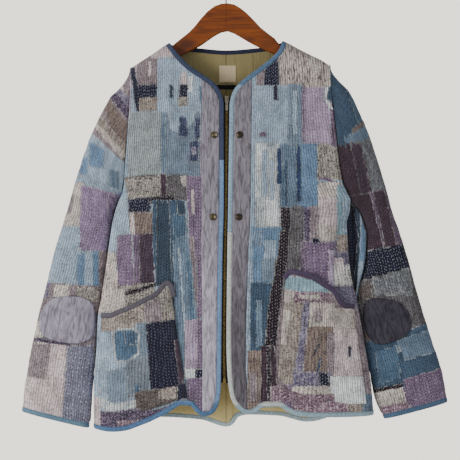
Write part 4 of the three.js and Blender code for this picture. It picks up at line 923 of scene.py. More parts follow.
def noise(tree, place, scale, detail, inputs=(), **settings):
    """Noise of one scale, or of three scales where it is stretched."""
    if isinstance(scale, tuple):
        place = add(tree, "Mapping", {"Vector": place, "Scale": scale})
        scale = 1.0
    inputs = {"Vector": place, "Scale": scale, "Detail": detail, **dict(inputs)}
    return add(tree, "TexNoise", inputs, **settings)


def flat_noise(tree, place, scale, detail, inputs=()):
    """Noise in the plane of a cloth, stretched where it has two scales."""
    if isinstance(scale, tuple):
        scale = (*scale, 1.0)
    return noise(tree, place, scale, detail, inputs, noise_dimensions="2D")


def blend(tree, share, under, over):
    return add(tree, "Mix", {0: share, 6: under, 7: over}, data_type="RGBA").node.outputs[2]


def lit(tree, colour, light):
    return add(tree, "VectorMath", {0: colour, "Scale": light}, operation="SCALE")


def split(tree, place):
    return add(tree, "SeparateXYZ", {0: place}).node.outputs


def new_material(name, *colours):
    """A new material's tree and place: its cloth's own where it reads colours, else the object's."""
    material = bpy.data.materials.new(name)
    material.use_nodes = True
    tree = material.node_tree
    tree.nodes.clear()
    if not colours:
        return material, tree, add(tree, "TexCoord").node.outputs["Object"]
    place = add(tree, "UVMap", uv_map="cloth")
    read = [add(tree, "Attribute", attribute_name=colour) for colour in colours]
    return material, tree, place, *read


def finish_material(tree, colour, height, roughness, relief=0.6, depth=0.0008, **sockets):
    """Principled surface of that colour, with a bump of that depth in metres."""
    inputs = {"Base Color": colour, "Roughness": roughness}
    if height is not None:
        bump = {"Strength": relief, "Distance": depth, "Height": height}
        inputs["Normal"] = add(tree, "Bump", bump)
    for name, value in sockets.items():
        inputs[name.replace("_", " ")] = value
    shader = add(tree, "BsdfPrincipled", inputs)
    add(tree, "OutputMaterial", {"Surface": shader})


def quilted_cotton(kind):
    """Old cotton held by kantha running stitches: matt, faded, each row pulled into a groove, with
    painted shade in the grooves and in the hollows between puckers.
    """
    settings = bpy.context.scene.jacket
    material, tree, place, ground, motif, thread = new_material(
        f"quilted_cotton_{kind}", "ground", "motif", "thread")
    u, v, _ = split(tree, place)
    # Fading: large soft areas, then streaks along the warp, then single slubs
    area = flat_noise(tree, place, 38.0, 3.0)
    streak = flat_noise(tree, place, (330.0, 36.0), 3.0)
    fleck = flat_noise(tree, place, (420.0, 1100.0), 2.0)
    if kind == "dotted":
        # Small printed dots about 8 mm apart
        cells = add(tree, "TexVoronoi", {"Vector": place, "Scale": 120.0, "Randomness": 0.45},
                    voronoi_dimensions="2D")
        mask = remap(tree, cells, 0.10, 0.19, 0.85, 0.0)
    elif kind == "printed":
        # An all-over small floral print, worn to a mottle of 2 to 5 mm
        leaves = flat_noise(tree, place, 300.0, 2.5, {"Distortion": 1.2})
        mask = remap(tree, leaves, 0.50, 0.58, 0.0, 0.85)
    elif kind == "streaked":
        dashes = flat_noise(tree, place, (300.0, 75.0), 2.0)
        mask = remap(tree, dashes, 0.52, 0.62, 0.0, 0.8)
    else:
        mask = remap(tree, streak, 0.48, 0.68, 0.0, 0.75)
    colour = blend(tree, mask, ground, motif)
    faded = remap(tree, area, 0.28, 0.72, 0.78, 1.22)
    warp = spread(tree, streak, 0.82, 1.18)
    weft = spread(tree, fleck, 0.84, 1.16)
    swell = flat_noise(tree, place, (170.0, 250.0), 3.0)
    # Painted shade: the cloth is darker in the hollows between its puckers, the same noise that gives
    # their relief
    pucker_shade = remap(tree, swell, 0.3, 0.62, 0.74, 1.12)
    # Rows of running stitches
    waver = flat_noise(tree, place, 24.0, 2.0)
    drift = maths(tree, "MULTIPLY_ADD", waver, 0.009, u)
    rows = maths(tree, "DIVIDE", drift, settings.row_pitch)
    away = maths(tree, "PINGPONG", rows, 0.5)
    row = maths(tree, "ROUND", rows)
    shift = add(tree, "TexWhiteNoise", {"W": row}, noise_dimensions="1D")
    runs = maths(tree, "DIVIDE", v, settings.stitch_pitch)
    gap = maths(tree, "PINGPONG", maths(tree, "ADD", runs, shift), 0.5)
    on_row = remap(tree, away, 0.055, 0.115, 1.0, 0.0)
    dash = remap(tree, gap, 0.19, 0.27, 1.0, 0.0)
    stitch = times(tree, on_row, dash)
    groove = remap(tree, away, 0.02, 0.34, 1.0, 0.0, interpolation_type="SMOOTHSTEP")
    # Painted shade in the groove beside each row of stitches
    shade = maths(tree, "MULTIPLY_ADD", groove, -0.32, 1.0)
    light = times(tree, faded, warp, weft, pucker_shade, shade)
    strength = {"dotted": 0.66, "streaked": 0.6, "printed": 0.42, "plain": 0.45}[kind]
    bold = remap(tree, shift, 0.0, 1.0, strength * 0.55, strength * 1.35)
    sewn = times(tree, stitch, bold)
    colour = blend(tree, sewn, lit(tree, colour, light), thread)
    # Relief: puckers between the stitches, a groove at each row, the stitch itself and the weave
    height = maths(tree, "MULTIPLY_ADD", groove, -0.55, swell)
    height = maths(tree, "MULTIPLY_ADD", stitch, -0.5, height)
    height = maths(tree, "MULTIPLY_ADD", fleck, 0.5, height)
    finish_material(tree, colour, height, 0.92, relief=0.9, depth=0.0013, Sheen_Weight=0.1,
                    Specular_IOR_Level=0.25)
    return material


def crinkled_linen():
    """Washed linen that dried in creases: matt, with painted shade in its grooves."""
    material, tree, place, ground = new_material("crinkled_linen", "ground")
    crease = flat_noise(tree, place, (230.0, 42.0), 5.0, {"Distortion": 0.9})
    area = flat_noise(tree, place, 45.0, 2.0)
    weave = flat_noise(tree, place, (900.0, 900.0), 1.0)
    # Painted shade: the linen is darker in the grooves of its creases
    deep = remap(tree, crease, 0.34, 0.57, 0.56, 1.12)
    light = times(tree, deep, spread(tree, area, 0.9, 1.1), spread(tree, weave, 0.9, 1.1))
    height = maths(tree, "MULTIPLY_ADD", weave, 0.1, crease)
    finish_material(tree, lit(tree, ground, light), height, 0.9, relief=0.7, depth=0.0018,
                    Specular_IOR_Level=0.25)
    return material


def folded_cotton():
    """Bias binding of plain cotton: a soft sheen on its rounded edge, one sewn line along it."""
    material, tree, place, ground = new_material("folded_cotton", "ground")
    u, v, _ = split(tree, place)
    wear = flat_noise(tree, place, 260.0, 4.0)
    area = flat_noise(tree, place, (90.0, 24.0), 2.0)
    # The sewn line is where u is 0
    line = remap(tree, maths(tree, "ABSOLUTE", u), 0.0004, 0.0009, 1.0, 0.0)
    dash = remap(tree, maths(tree, "PINGPONG", v, 0.0018), 0.0010, 0.0013, 1.0, 0.35)
    sewn = times(tree, line, dash)
    shade = maths(tree, "MULTIPLY_ADD", sewn, -0.4, 1.0)
    light = times(tree, spread(tree, wear, 0.8, 1.22), spread(tree, area, 0.88, 1.12), shade)
    height = maths(tree, "MULTIPLY_ADD", sewn, -0.8, wear)
    finish_material(tree, lit(tree, ground, light), height, 0.86, relief=0.6, depth=0.0007,
                    Sheen_Weight=0.12, Specular_IOR_Level=0.3)
    return material


def khaki_twill():
    """Plain khaki cotton of the lining: matt, a little uneven where it was washed."""
    material, tree, place = new_material("khaki_twill")
    area = noise(tree, place, 26.0, 3.0)
    fine = noise(tree, place, 700.0, 2.0)
    crease = noise(tree, place, (70.0, 20.0, 9.0), 3.0, {"Distortion": 0.4})
    x, _, z = split(tree, place)
    seam = remap(tree, maths(tree, "ABSOLUTE", x), 0.0006, 0.0016, 0.62, 1.0)
    # Painted shade: the lining is darker towards the neck, where less light reaches inside the jacket
    neck_shade = remap(tree, z, -0.74, -0.2, 1.0, 0.4)
    light = times(tree, spread(tree, area, 0.9, 1.1), spread(tree, fine, 0.92, 1.08), seam, neck_shade)
    colour = lit(tree, tuple(bpy.context.scene.jacket.lining_colour), light)
    height = maths(tree, "MULTIPLY_ADD", fine, 0.2, crease)
    finish_material(tree, colour, height, 0.9, relief=0.8, depth=0.004, Specular_IOR_Level=0.25)
    return material


def woven_tape(name, colour, pitch):
    """Narrow woven tape: fine ribs across its length."""
    material, tree, place = new_material(name)
    fine = noise(tree, place, 900.0, 2.0)
    half = pitch * MM / 2
    rib = remap(tree, maths(tree, "PINGPONG", split(tree, place)[2], half), 0.0, half, 0.0, 1.0)
    light = times(tree, spread(tree, fine, 0.82, 1.18), remap(tree, rib, 0.0, 1.0, 0.85, 1.1))
    height = maths(tree, "MULTIPLY_ADD", fine, 0.4, rib)
    finish_material(tree, lit(tree, linear(colour)[:3], light), height, 0.85, relief=0.5,
                    depth=0.0003, Specular_IOR_Level=0.3)
    return material


def aged_metal(name, bright, dark, roughness):
    """Plated brass that has dulled: darker in patches, brighter where it is rubbed."""
    material, tree, place = new_material(name)
    stain = noise(tree, place, 520.0, 4.0)
    fine = noise(tree, place, 1800.0, 2.0)
    mask = remap(tree, stain, 0.38, 0.62, 0.0, 1.0)
    colour = blend(tree, mask, linear(bright), linear(dark))
    rough = spread(tree, stain, roughness - 0.1, roughness + 0.14)
    finish_material(tree, colour, fine, rough, relief=0.25, depth=0.0002, Metallic=1.0)
    return material


def varnished_beech():
    """Old red-brown varnish over straight-grained beech: soft gloss, dark scuffs and scratches."""
    material, tree, place = new_material("varnished_beech")
    grain = noise(tree, place, (14.0, 120.0, 190.0), 5.0, {"Distortion": 0.5})
    pore = noise(tree, place, (90.0, 900.0, 900.0), 2.0)
    dark = (*bpy.context.scene.jacket.wood_colour, 1.0)
    colour = blend(tree, spread(tree, grain, 0.0, 1.0), linear("#954c08"), dark)
    for x, z, wide, tall, depth in SCUFFS:
        near = add(tree, "Mapping", {"Vector": place, "Location": (-x, 0.0, -z)})
        near = add(tree, "VectorMath", {0: near, 1: (1 / wide, 0.0, 1 / tall)}, operation="MULTIPLY")
        far = add(tree, "VectorMath", {0: near}, operation="LENGTH").node.outputs["Value"]
        uneven = maths(tree, "MULTIPLY_ADD", grain, 2.6, far)
        colour = blend(tree, remap(tree, uneven, 1.5, 2.5, depth, 0.0), colour, linear("#3f1d12"))
    middle = maths(tree, "ABSOLUTE", split(tree, place)[0])
    joint = remap(tree, middle, 0.0004, 0.0011, 0.72, 1.0)
    colour = lit(tree, colour, times(tree, joint, spread(tree, pore, 0.88, 1.1)))
    finish_material(tree, colour, pore, spread(tree, grain, 0.42, 0.6), relief=0.2, depth=0.0003,
                    Specular_IOR_Level=0.35, Coat_Weight=0.08, Coat_Roughness=0.4)
    return material


MATERIALS = {}


def make_materials():
    for kind in KINDS:
        MATERIALS[kind] = quilted_cotton(kind)
    MATERIALS["linen"] = crinkled_linen()
    MATERIALS["binding"] = folded_cotton()
    MATERIALS["lining"] = khaki_twill()
    MATERIALS["tape"] = woven_tape("black_tape", "#191a1d", 1.2)
    MATERIALS["label"] = woven_tape("bare_label", "#cdbf9f", 1.0)
    MATERIALS["brass"] = aged_metal("aged_brass", "#b39a62", "#5f5138", 0.42)
    MATERIALS["socket"] = aged_metal("antique_socket", "#857c66", "#3b362d", 0.4)
    MATERIALS["cap"] = aged_metal("antique_cap", "#5a5146", "#2b2722", 0.45)
    MATERIALS["pull"] = aged_metal("dull_nickel", "#a39f90", "#6c695f", 0.4)
    MATERIALS["wood"] = varnished_beech()
    MATERIALS["steel"] = aged_metal("bright_wire", "#b9b6b0", "#8f8b84", 0.3)


def join_piece(piece, node_names, body="jacket"):
    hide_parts(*node_names)
    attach(piece, body)


def forwards(points):
    """The way to the front of the jacket, for each of the points."""
    return np.broadcast_to(FORWARD, points.shape).copy()


def unit(vectors):
    return vectors / np.linalg.norm(vectors, axis=-1, keepdims=True)


def front_grid(side, rows=236, roll_rows=14):
    """Face of one front: heights and columns run as in its solid, only finer."""
    sign = SIGN[side]

    def x_at(z, outer):
        edge = along(FRONT_EDGES, "z", side, z) + sign * BINDING_WIDTH
        placket = edge + sign * along(FRONT_EDGES, "z", "placket", z)
        reach = sign * along(BODY_SIDES, "z", side, z)
        inner = edge + (placket - edge) * (1 + outer)
        return np.where(outer < 0, inner, placket + (reach - placket) * outer)

    neck_z = shoulder_z(side, NECK_POINT)
    placket_x = x_at(neck_z, 0.0)
    neck_share = float((sign * NECK_POINT - placket_x) / (x_at(neck_z, 1.0) - placket_x))
    outer = np.concatenate([
        np.linspace(-1, 0, PLACKET_COLUMNS + 1)[:-1],
        np.linspace(0, neck_share, NECK_COLUMNS, endpoint=False),
        np.linspace(neck_share, 1, SHOULDER_COLUMNS),
    ])
    neck_column = PLACKET_COLUMNS + NECK_COLUMNS
    neck = moved_edge(NECKLINES[side], -sign * BINDING_WIDTH)
    hem = moved_edge(HEMS[side], sign * BINDING_WIDTH)
    start = np.full(len(outer), -500.0)

    def top_at(x):
        bound = along(neck, "x", "z", x)
        return np.where(np.arange(len(outer)) < neck_column, bound, shoulder_z(side, x))

    low = meet(lambda z: x_at(z, outer), lambda x: along(hem, "x", "z", x), start)
    high = meet(lambda z: x_at(z, outer), top_at, start)
    z = row_heights(low, high, rows, roll_rows)
    x = x_at(z, outer[None, :])
    points = np.stack([x, front_y(side, x, z), z], axis=-1)
    seam = np.zeros(z.shape, bool)
    seam[-1, neck_column:] = True
    seam[:, -1] |= points[:, -1, 1] > -1
    outward = forwards(points)
    outward[-1, neck_column:] = (0, 0, 1)
    outward[:, -1] = (sign, -0.5, 0)
    normals = flatten_at(grid_normals(points, outward), seam)
    return points, normals, neck_column


def edge_fade(shape, cells):
    """0 at a grid's rim, 1 from so many cells inside it."""
    i = np.minimum(np.arange(shape[0]), np.arange(shape[0])[::-1])[:, None]
    j = np.minimum(np.arange(shape[1]), np.arange(shape[1])[::-1])[None, :]
    return np.clip(np.minimum(i, j) / cells, 0, 1)


def squared_round(angle, power):
    """Cosine and sine along a round that is the squarer, the higher the power."""
    return [np.sign(wave) * np.abs(wave) ** (2 / power) for wave in (np.cos(angle), np.sin(angle))]


def run_length(points):
    """Lengths along each line of points, from its start."""
    step = np.linalg.norm(np.diff(points, axis=-2), axis=-1)
    return np.concatenate([np.zeros((*step.shape[:-1], 1)), np.cumsum(step, axis=-1)], axis=-1)


def bar_object(name, stations, width, height, around=14):
    """A folded tape as a soft flat tube along a line of stations; u is 0 at its sewn line."""
    centres, sides, faces = stations
    turn = np.linspace(0, 2 * np.pi, around + 1) + np.pi
    across, out = squared_round(turn, 3.2)
    across, out = across * width / 2, out * height / 2
    points = (centres[:, None] + sides[:, None] * across[None, :, None]
              + faces[:, None] * out[None, :, None])
    normals = sides[:, None] * np.cos(turn)[None, :, None] + faces[:, None] * np.sin(turn)[None, :, None]
    length = run_length(centres)
    uv = cloth_uv((across + width / 2 - SEWN_INSET)[None, :], length[:, None])
    piece = grid_object(name, points, normals, uv, wrap=True)
    edit(piece, fill_holes)
    return piece, float(length[-1])


def fill_holes(build):
    bmesh.ops.holes_fill(build, edges=[e for e in build.edges if e.is_boundary], sides=0)


def resampled(points, values, spacing):
    """A line and what goes with it, with stations about that far apart."""
    keep = np.concatenate([[True], np.linalg.norm(np.diff(points, axis=0), axis=1) > 0.05])
    points, values = points[keep], values[keep]
    length = run_length(points)
    at = np.linspace(0, length[-1], max(3, int(length[-1] / spacing) + 1))
    lay = lambda column: np.stack([np.interp(at, length, column[:, k]) for k in range(3)], axis=1)
    return lay(points), lay(values)


def smoothed(points, times):
    points = points.copy()
    for _ in range(times):
        points[1:-1] = 0.25 * points[:-2] + 0.5 * points[1:-1] + 0.25 * points[2:]
    return points


def edge_stations(points, normals, turn):
    """Centres and directions of a binding that wraps the edge of a panel."""
    points, normals = resampled(points, normals, 3.5)
    points = smoothed(points, 3)
    normals = unit(smoothed(normals, 2))
    ahead = unit(np.gradient(points, axis=0))
    side = unit(turn * np.cross(ahead, normals))
    for end in (0, -1):
        if abs(points[end, 1]) < 1:
            straight = unit(np.cross((0, 1, 0), normals[end]))
            side[end] = straight if straight @ side[end] > 0 else -straight
    centres = points + side * (BINDING_WIDTH / 2 - OVERLAP) - normals * (WALL / 2)
    return centres, side, normals


def by_height(piece, stops, blend=1.0):
    """Colours of a pieced tape: each stop is a height and its colour above it."""
    z = face_centres(piece)[:, 2]
    z = z + 1.5 * soft_noise(z, z, 3.0, 4)
    ground = np.tile(np.array(linear(stops[-1][1])), (len(z), 1))
    for height, colour in reversed(stops[:-1]):
        share = smooth_step(height - blend, height + blend, z)[:, None]
        ground = ground * (1 - share) + np.array(linear(colour)) * share
    return ground


class JacketSettings(bpy.types.PropertyGroup):
    row_pitch: FloatProperty(
        name="Stitch row spacing", description="Distance between the rows of running stitches",
        default=0.0045, min=0.002, max=0.02, subtype="DISTANCE", unit="LENGTH")
    stitch_pitch: FloatProperty(
        name="Stitch length", description="Length of one running stitch and its gap",
        default=0.0056, min=0.002, max=0.02, subtype="DISTANCE", unit="LENGTH")
    ridge: FloatProperty(
        name="Ridge height", description="Height of the cloth between two rows of stitches",
        default=0.0005, min=0.0, max=0.002, subtype="DISTANCE", unit="LENGTH")
    lining_colour: FloatVectorProperty(
        name="Lining colour", description="Khaki of the lining", subtype="COLOR", size=3,
        default=linear("#d3c690")[:3], min=0, max=1)
    wood_colour: FloatVectorProperty(
        name="Wood colour", description="Darker grain of the hanger", subtype="COLOR", size=3,
        default=linear("#5a2606")[:3], min=0, max=1)
    camera_distance: FloatProperty(
        name="Camera distance", description="Distance from the camera to the front of the jacket",
        default=2.4, min=1.0, max=6.0, subtype="DISTANCE", unit="LENGTH")


class JACKET_OT_fronts(bpy.types.Operator):
    """Quilted patchwork fronts"""

    bl_idname = "jacket.fronts"
    bl_label = "Fronts"

    def execute(self, context):
        ridge = context.scene.jacket.ridge / MM
        for side, patches, seed in (("right", RIGHT_FRONT, 11), ("left", LEFT_FRONT, 23)):
            points, normals, _ = front_grid(side)
            x, z = points[..., 0], points[..., 2]
            j = np.arange(points.shape[1]) - PLACKET_COLUMNS
            rows = np.where(j % 3 == 0, 0.0, ridge) * (0.8 + 0.35 * soft_noise(x, z, 7.0, seed))
            shown = quilted(points, normals, patches, in_pixels, seed, rows, CREASES)
            piece = patched_sheet(f"front_{side}", shown, normals, cloth_uv(j * 1.5, z), patches, seed)
        return {"FINISHED"}


class JACKET_OT_back(bpy.types.Operator):
    """Quilted patchwork back"""

    bl_idname = "jacket.back"
    bl_label = "Back"

    def execute(self, context):
        ridge = context.scene.jacket.ridge / MM
        points, normals = back_grid(*BACK_GRID)
        j = np.arange(points.shape[1])
        patches = [("sky", 0, 0, 460, 460)]
        for panel in (RIGHT_FRONT, LEFT_FRONT, RIGHT_POCKET, LEFT_POCKET):
            patches += panel[1:]
        patches += BACK_MIDDLE
        shown = quilted(points, normals, patches, mirrored_pixels, BACK_SEED,
                        np.where(j % 2 == 0, 0.0, ridge), BACK_CREASES)
        uv = cloth_uv(j * 2.25, points[..., 2])
        piece = patched_sheet("back", shown, normals, uv, patches, BACK_SEED, mirrored_pixels)
        return {"FINISHED"}


def back_grid(middle_columns, side_columns, rows, roll_rows):
    """Face of the back, from the right side to the left side through both neck points."""
    right_share = NECK_POINT / along(BODY_SIDES, "z", "right", -127)
    left_share = NECK_POINT / along(BODY_SIDES, "z", "left", -123)
    share = np.concatenate([
        np.linspace(-1, -right_share, side_columns // 2, endpoint=False),
        np.linspace(-right_share, 0, middle_columns // 2, endpoint=False),
        np.linspace(0, left_share, middle_columns // 2, endpoint=False),
        np.linspace(left_share, 1, side_columns // 2 + 1),
    ])
    on_left = share >= 0
    at_neck = np.zeros(len(share), bool)
    at_neck[side_columns // 2:side_columns // 2 + middle_columns + 1] = True
    neck = moved_edge(BACK_NECK, -BINDING_WIDTH)
    hem = moved_edge(BACK_HEM, BINDING_WIDTH)

    def x_at(z):
        return share * np.where(on_left, back_reach("left", z), back_reach("right", z))

    def seam_at(x):
        return np.where(on_left, shoulder_z("left", x), shoulder_z("right", x))

    start = np.full(len(share), -500.0)
    low = meet(x_at, lambda x: along(hem, "x", "z", x), start)
    high = meet(x_at, lambda x: np.where(at_neck, along(neck, "x", "z", x), seam_at(x)), start)
    z = row_heights(low, high, rows, roll_rows)
    x = x_at(z)
    y = np.where(on_left, back_y("left", x, z), back_y("right", x, z))
    points = np.stack([x, y, z], axis=-1)
    seam = np.zeros(z.shape, bool)
    seam[-1, ~at_neck] = True
    for column in (0, -1):
        seam[:, column] |= points[:, column, 1] < 1
    outward = -forwards(points)
    outward[-1, ~at_neck] = (0, 0, 1)
    outward[:, 0] = (-1, 0.5, 0)
    outward[:, -1] = (1, 0.5, 0)
    return points, flatten_at(grid_normals(points, outward), seam)


class JACKET_OT_lining(bpy.types.Operator):
    """Khaki lining of the back, with its tape and the bare label"""

    bl_idname = "jacket.lining"
    bl_label = "Lining"

    def execute(self, context):
        points, normals = back_grid(*LINING_GRID)
        points, normals = points[:, 3:-3], normals[:, 3:-3]
        x, z = points[..., 0], points[..., 2]
        behind = WALL + 0.45 + 0.25 * (1 + soft_noise(x, z, 16.0, 51)) * edge_fade(x.shape, 4)
        shown = points - normals * behind[..., None]
        piece = grid_object("back_lining_cloth", shown, -normals, points[..., [0, 2]])
        dress(piece, "lining")
        give_wall(piece, LINING, offset=1)
        join_piece(piece, ["back_lining"])
        self.inside("lining_tape", NECK_TAPE, "tape", 0.8, "black_tape")
        self.inside("label", LABEL_BOX, "label", 0.6, "label")
        return {"FINISHED"}

    def inside(self, node, box, material, thick, slot):
        """A flat piece sewn to the lining, from its left, right, top and bottom."""
        left, right, top, bottom = box
        x, z = np.meshgrid(np.linspace(left, right, 60), np.linspace(bottom, top, 14))
        y = np.where(x < 0, back_y("right", x, z), back_y("left", x, z)) - (WALL + LINING + 0.8)
        points = np.stack([x, y, z], axis=-1)
        piece = grid_object(f"{node}_cloth", points, forwards(points), points[..., [0, 2]])
        dress(piece, material)
        give_wall(piece, thick, offset=1)
        bevel = piece.modifiers.new("edge", "BEVEL")
        bevel.width = 0.2 * MM
        bevel.segments = 1
        bevel.limit_method = "ANGLE"
        join_piece(piece, [node])


def sleeve_point(side, ring, turn):
    """Point on a sleeve's face; turn 0 is the outer edge, 0.5 the inner edge, 0.75 the front."""
    value = {name: along(SLEEVES[side], "ring", name, ring) for name in SLEEVE_COLUMNS.split()[1:]}
    inner = back_reach(side, value["innerZ"]) + value["away"]
    across, deep = squared_round(turn * 2 * np.pi, 2.6)
    z = (value["outerZ"] + value["innerZ"]) / 2 + (value["outerZ"] - value["innerZ"]) / 2 * across
    x = (value["outerX"] + inner) / 2 + (value["outerX"] - inner) / 2 * across
    x = x + np.maximum(1 - ring, 0) * (back_reach(side, z) + ARMHOLE_GAP - x)
    return np.stack([SIGN[side] * x, value["back"] + value["half"] * deep, z], axis=-1)


def sleeve_middle(side, ring, turn):
    return (sleeve_point(side, ring, turn * 0) + sleeve_point(side, ring, turn * 0 + 0.5)) / 2


def sleeve_normals(side, ring, turn, points):
    normals = grid_normals(points, points - sleeve_middle(side, ring, turn), wrap=True)
    normals[0] *= np.array([0.0, 1.0, 1.0])
    return unit(normals)


class JACKET_OT_sleeves(bpy.types.Operator):
    """Quilted patchwork sleeves"""

    bl_idname = "jacket.sleeves"
    bl_label = "Sleeves"

    def execute(self, context):
        for side, patches, seed in (("right", RIGHT_SLEEVE, 61), ("left", LEFT_SLEEVE, 73)):
            turn, ring = np.meshgrid(np.linspace(0.5, 1.5, 145), np.linspace(0, 10, 215))
            outer_column, front_column, elbow_row = 72, 108, 100
            points = sleeve_point(side, ring, turn)
            normals = sleeve_normals(side, ring, turn, points)
            girth = run_length(points)
            u = girth - girth[:, outer_column, None]
            v = run_length(points[:, front_column])
            rise = 0.35 * soft_noise(points[..., 0], points[..., 2], 8.0, seed)
            rise = rise + 0.5 * soft_noise(u, ring * RING_MM, 17.0, seed + 1)
            around = float(girth[elbow_row, -1])
            folds = [(r1 * RING_MM, t1 * around, r2 * RING_MM, t2 * around, height, width)
                     for r1, t1, r2, t2, height, width in SLEEVE_CREASES]
            rise = rise + fold_height(folds, ring * RING_MM, (turn % 1.0) * around)
            # The inner edge of the sleeve rests against the side of the body
            rise = rise + 2.0 * np.exp(-((np.abs(turn - 1) - 0.5) / 0.07) ** 2)
            rise = rise + lift_of(patches, *in_pixels(points), seed)
            rise = rise * np.clip(np.minimum(ring / 0.25, (10 - ring) / 0.12), 0, 1)
            shown = points + normals * rise[..., None]
            shown[:, -1] = shown[:, 0]
            piece = patched_sheet(f"sleeve_{side}", shown, normals, cloth_uv(u, -v[:, None]), patches,
                                  seed, sleeve_pixels, wrap=True)
            self.cuff(side, points, normals)
        return {"FINISHED"}

    def cuff(self, side, points, normals):
        end, before, face = points[-1, :-1], points[-4, :-1], normals[-1, :-1]
        down = unit(end - before)
        centres = end + down * (BINDING_WIDTH / 2 - OVERLAP) - face * (WALL / 2)
        stations = [np.concatenate([line, line[:1]]) for line in (centres, down, face)]
        piece, length = bar_object(f"cuff_binding_{side}_cloth", stations, *CUFF_BAR)
        edit(piece, close_ring)
        dress(piece, "binding", "#64849f" if side == "right" else "#4c6684")
        join_piece(piece, [f"cuff_binding_{side}"])


def close_ring(build):
    """Joins the two ends of a bar that runs in a ring."""
    caps = [f for f in build.faces if len(f.verts) > 4]
    bmesh.ops.delete(build, geom=caps, context="FACES_ONLY")
    bmesh.ops.remove_doubles(build, verts=build.verts, dist=2e-5)


class JACKET_OT_elbows(bpy.types.Operator):
    """Oval elbow patches of crinkled linen"""

    bl_idname = "jacket.elbows"
    bl_label = "Elbow patches"

    def execute(self, context):
        for side in SIDES:
            ring0, rings, turn0, turns = ELBOWS[side]
            a, b = np.meshgrid(np.linspace(-1, 1, 45), np.linspace(-1, 1, 45), indexing="ij")
            ring = ring0 + rings * a * np.sqrt(1 - b * b / 2)
            turn = turn0 + turns * b * np.sqrt(1 - a * a / 2)
            points = sleeve_point(side, ring, turn)
            lengthwise = sleeve_point(side, ring + 0.05, turn) - points
            crosswise = sleeve_point(side, ring, turn + 0.01) - points
            normals = unit(np.cross(lengthwise, crosswise))
            facing = (normals * (points - sleeve_middle(side, ring, turn))).sum(-1, keepdims=True)
            normals = np.where(facing < 0, -normals, normals)
            rim = np.clip(1 - np.maximum(np.abs(a), np.abs(b)), 0, 1)
            height = RIDGE_CLEAR + 0.7 + 1.0 * np.clip(rim / 0.12, 0, 1) ** 0.5
            wrinkle = 0.7 * soft_noise(ring * 60, turn * 60, 7.0, 81) * np.clip(rim / 0.15, 0, 1)
            shown = points + normals * (height + np.clip(wrinkle, -0.5, 0.7))[..., None]
            uv = cloth_uv(turn * 260, ring * RING_MM)
            piece = grid_object(f"elbow_patch_{side}_cloth", shown, normals, uv)
            dress(piece, "linen", "#9a96aa" if side == "right" else "#3e3c48")
            give_wall(piece, 1.2)
            join_piece(piece, [f"elbow_patch_{side}"])
        return {"FINISHED"}


def pocket_point(side, strip, up, height):
    bottom_x = along(POCKETS[side], "strip", "bottomX", strip)
    bottom_z = along(POCKETS[side], "strip", "bottomZ", strip)
    x = bottom_x + (along(POCKETS[side], "strip", "topX", strip) - bottom_x) * up
    z = bottom_z + (along(POCKETS[side], "strip", "topZ", strip) - bottom_z) * up
    gape = POCKET_GAPE * np.maximum(up, 0) ** 2 * np.sin(np.pi * strip / LAST_STRIP)
    return on_front(side, x, z, RIDGE_CLEAR + gape + height)


class JACKET_OT_pockets(bpy.types.Operator):
    """Patch pockets with bound mouths"""

    bl_idname = "jacket.pockets"
    bl_label = "Pockets"

    def execute(self, context):
        for side, patches, seed in (("right", RIGHT_POCKET, 91), ("left", LEFT_POCKET, 97)):
            strip, up = np.meshgrid(np.linspace(0, LAST_STRIP, 100), np.linspace(0, 1, 84))
            base = pocket_point(side, strip, up, np.zeros(strip.shape))
            normals = grid_normals(base, forwards(base))
            near = np.minimum(np.minimum(strip, LAST_STRIP - strip) * 22, up * 180)
            face = POCKET_WALL * np.clip(0.35 + 0.65 * np.sqrt(np.clip(near / 5, 0, 1)), 0, 1)
            j = np.arange(strip.shape[1])
            ridge = np.where(j % 3 == 0, 0.0, context.scene.jacket.ridge / MM)
            waves = 0.6 * soft_noise(base[..., 0], base[..., 2], 14.0, seed)
            rise = face + (ridge + waves) * np.clip(near / 6, 0, 1)
            shown = base + normals * rise[..., None]
            uv = cloth_uv(j * 1.5, base[..., 2])
            piece = patched_sheet(f"pocket_{side}", shown, normals, uv, patches, seed,
                                  wall=POCKET_WALL * 0.6)
            self.mouth(side)
        return {"FINISHED"}

    def mouth(self, side):
        strip = np.linspace(0, LAST_STRIP, 60)
        line = pocket_point(side, strip, np.ones(60), np.full(60, POCKET_WALL / 2 + 0.3))
        faces = front_normal(side, line[:, 0], line[:, 2])
        upward = unit(np.cross(np.gradient(smoothed(line, 2), axis=0), faces))
        upward = np.where(upward[:, 2:3] < 0, -upward, upward)
        centres = line + upward * (MOUTH_WIDTH / 2 - OVERLAP)
        piece, length = bar_object(f"pocket_binding_{side}_cloth", (centres, upward, faces),
                                   MOUTH_WIDTH + 0.6, POCKET_WALL + 1.2)
        dress(piece, "binding", "#595663" if side == "right" else "#4c415c")
        join_piece(piece, [f"pocket_binding_{side}"])


class JACKET_OT_plackets(bpy.types.Operator):
    """Crinkled linen strips beside the zip"""

    bl_idname = "jacket.plackets"
    bl_label = "Plackets"

    def execute(self, context):
        fine = np.linspace(0, PLACKET_COLUMNS, 29)
        i = np.floor(np.clip(fine, 0, PLACKET_COLUMNS - 0.001)).astype(int)
        t = (fine - i)[None, :, None]
        for side, stops, seed in (("right", RIGHT_LINEN, 101), ("left", LEFT_LINEN, 107)):
            points, normals, _ = front_grid(side)
            base, turned = [
                grid[::2, i] * (1 - t) + grid[::2, i + 1] * t for grid in (points, normals)
            ]
            x, z = base[..., 0], base[..., 2]
            crinkle = 0.9 * soft_noise(x, z / 5, 3.2, seed) + 0.5 * soft_noise(x, z / 3, 1.7, seed + 1)
            fade = edge_fade(x.shape, 2)
            height = 0.55 + 0.75 * fade + (0.55 * crinkle + 0.35) * fade
            shown = base + turned * height[..., None]
            piece = grid_object(f"placket_{side}_cloth", shown, turned, cloth_uv(fine * 4, z))
            dress(piece, "linen", by_height(piece, stops, 120))
            give_wall(piece, 0.5)
            join_piece(piece, [f"placket_{side}"])
        return {"FINISHED"}


